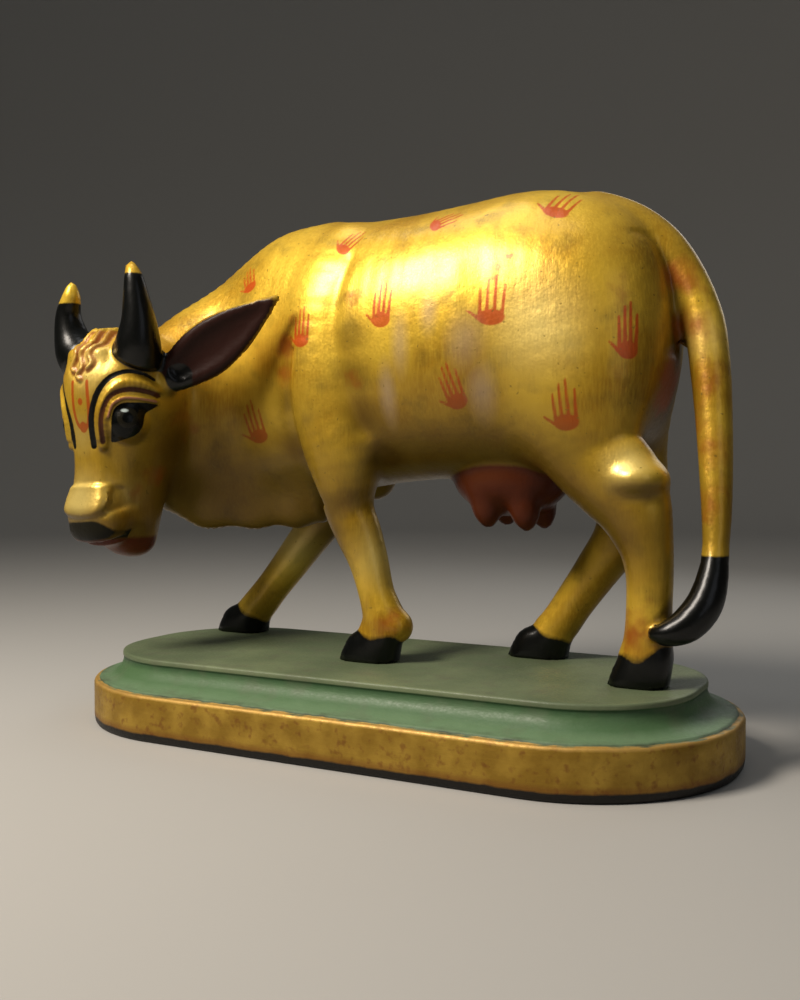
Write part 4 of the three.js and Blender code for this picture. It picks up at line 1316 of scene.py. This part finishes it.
def paintedPlinth():
    # Wood under brushed oil paint, grey green above and dull gold bronze on the band, with the reddish
    # undercoat and a dark seam where the two meet: eggshell and slightly streaky, with a painted highlight
    # along the band's upper edge, painted shade under the board's lip and a painted shadow along the foot
    material, tree = newMaterial("green and gold paint on turned wood")
    node = partial(add, tree)
    place = node("TexCoord", {}, "Object")
    sources = noisesOf(tree, place, plinthNoises)
    f = plinthFinish
    height = node("Math", {0: node("SeparateXYZ", {0: place}, 2), 1: mm}, operation="DIVIDE")
    sources["height"] = node("MapRange", {0: sources["edge"], 3: -f["wobble"], 4: f["wobble"]})
    sources["height"] = node("Math", {0: sources["height"], 1: height}, operation="ADD")
    top, bottom, board = plinth["bandTop"], plinth["bandBottom"], plinth["height"]

    def washed(colour, washes):  # each wash: its source, from where to where, cover at both ends, paint
        for source, low, high, atLow, atHigh, paint in washes:
            mask = node("MapRange", {0: sources[source], 1: low, 2: high, 3: atLow, 4: atHigh})
            colour = node("Mix", {0: mask, 6: colour, 7: linear(plinthPaints[paint])}, 2, data_type="RGBA")
        return colour

    cove = washed(linear(plinthPaints["cove"]), [
        # painted shade just under the board's lip
        ("height", board - 5.5, board - 2.8, 0, 0.9, "coveShade"),
        ("height", top + 0.5, top + 3.5, 0.75, 0, "covePale"),
        ("middle", 0.5, 0.75, 0, 0.35, "greenGrey"),
    ])
    green = washed(linear(plinthPaints["green"]), [
        ("broad", 0.4, 0.65, 0, 1, "greenPale"), ("middle", 0.5, 0.75, 0, 0.5, "greenGrey"),
    ])
    gold = washed(linear(plinthPaints["gold"]), [
        ("middle", 0.4, 0.65, 0, 0.9, "goldPale"),
        ("specks", 0.56, 0.72, 0, 0.55, "goldRed"),
        # painted highlight along the upper edge of the band
        ("height", top - 1.6, top - 0.5, 0, 0.6, "rimHighlight"),
        ("height", bottom + 0.2, bottom + 2.2, 0.5, 0, "goldRed"),
        # painted shadow: the rounded foot below the band turns near black
        ("height", bottom - 1.2, bottom - 0.3, 1, 0, "foot"),
    ])
    onBoard = node("MapRange", {0: height, 1: board - f["boardFrom"], 2: board - f["boardTo"]})
    upper = node("Mix", {0: onBoard, 6: cove, 7: green}, 2, data_type="RGBA")
    isGreen = node("MapRange", {0: sources["height"], 1: top - 0.1, 2: top + 0.25})
    colour = node("Mix", {0: isGreen, 6: gold, 7: upper}, 2, data_type="RGBA")
    seam = node("MapRange", {0: sources["height"], 1: top + f["seamFrom"], 2: top + f["seamTo"], 3: 1, 4: 0})
    seam = node("Math", {0: seam, 1: isGreen}, operation="MULTIPLY")
    broken = node("MapRange", {0: sources["middle"], 1: 0.4, 2: 0.6, 3: f["seamLeast"], 4: f["seamMost"]})
    seam = node("Math", {0: seam, 1: broken}, operation="MULTIPLY")
    colour = node("Mix", {0: seam, 6: colour, 7: linear(plinthPaints["seam"])}, 2, data_type="RGBA")

    metal = node("MapRange", {0: isGreen, 3: f["metal"], 4: 0})
    onBand = node("MapRange", {0: sources["height"], 1: bottom - 1.2, 2: bottom - 0.3})
    metal = node("Math", {0: metal, 1: onBand}, operation="MULTIPLY")
    rough = node("MapRange", {0: sources["grain"], 1: 0.3, 2: 0.7, 3: f["smooth"], 4: f["coarse"]})
    bumps = node("MapRange", {0: sources["lumps"], 4: f["lumps"]})
    for source, amount in f["relief"]:
        bumps = node("Math", {0: sources[source], 1: amount, 2: bumps}, operation="MULTIPLY_ADD")
    relief = node("Bump", {"Strength": f["bump"], "Distance": f["bumpHeight"] * mm, "Height": bumps})
    shader = node("BsdfPrincipled", {
        "Base Color": colour, "Metallic": metal, "Roughness": rough, "Normal": relief, "IOR": 1.5,
        "Specular IOR Level": f["specular"], "Coat Weight": f["wax"], "Coat Roughness": f["waxRoughness"],
    })
    node("OutputMaterial", {"Surface": shader})
    return material


plinthObject.data.materials.append(paintedPlinth())
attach(plinthObject, "root")
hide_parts("plinth")
print("plinth painted")
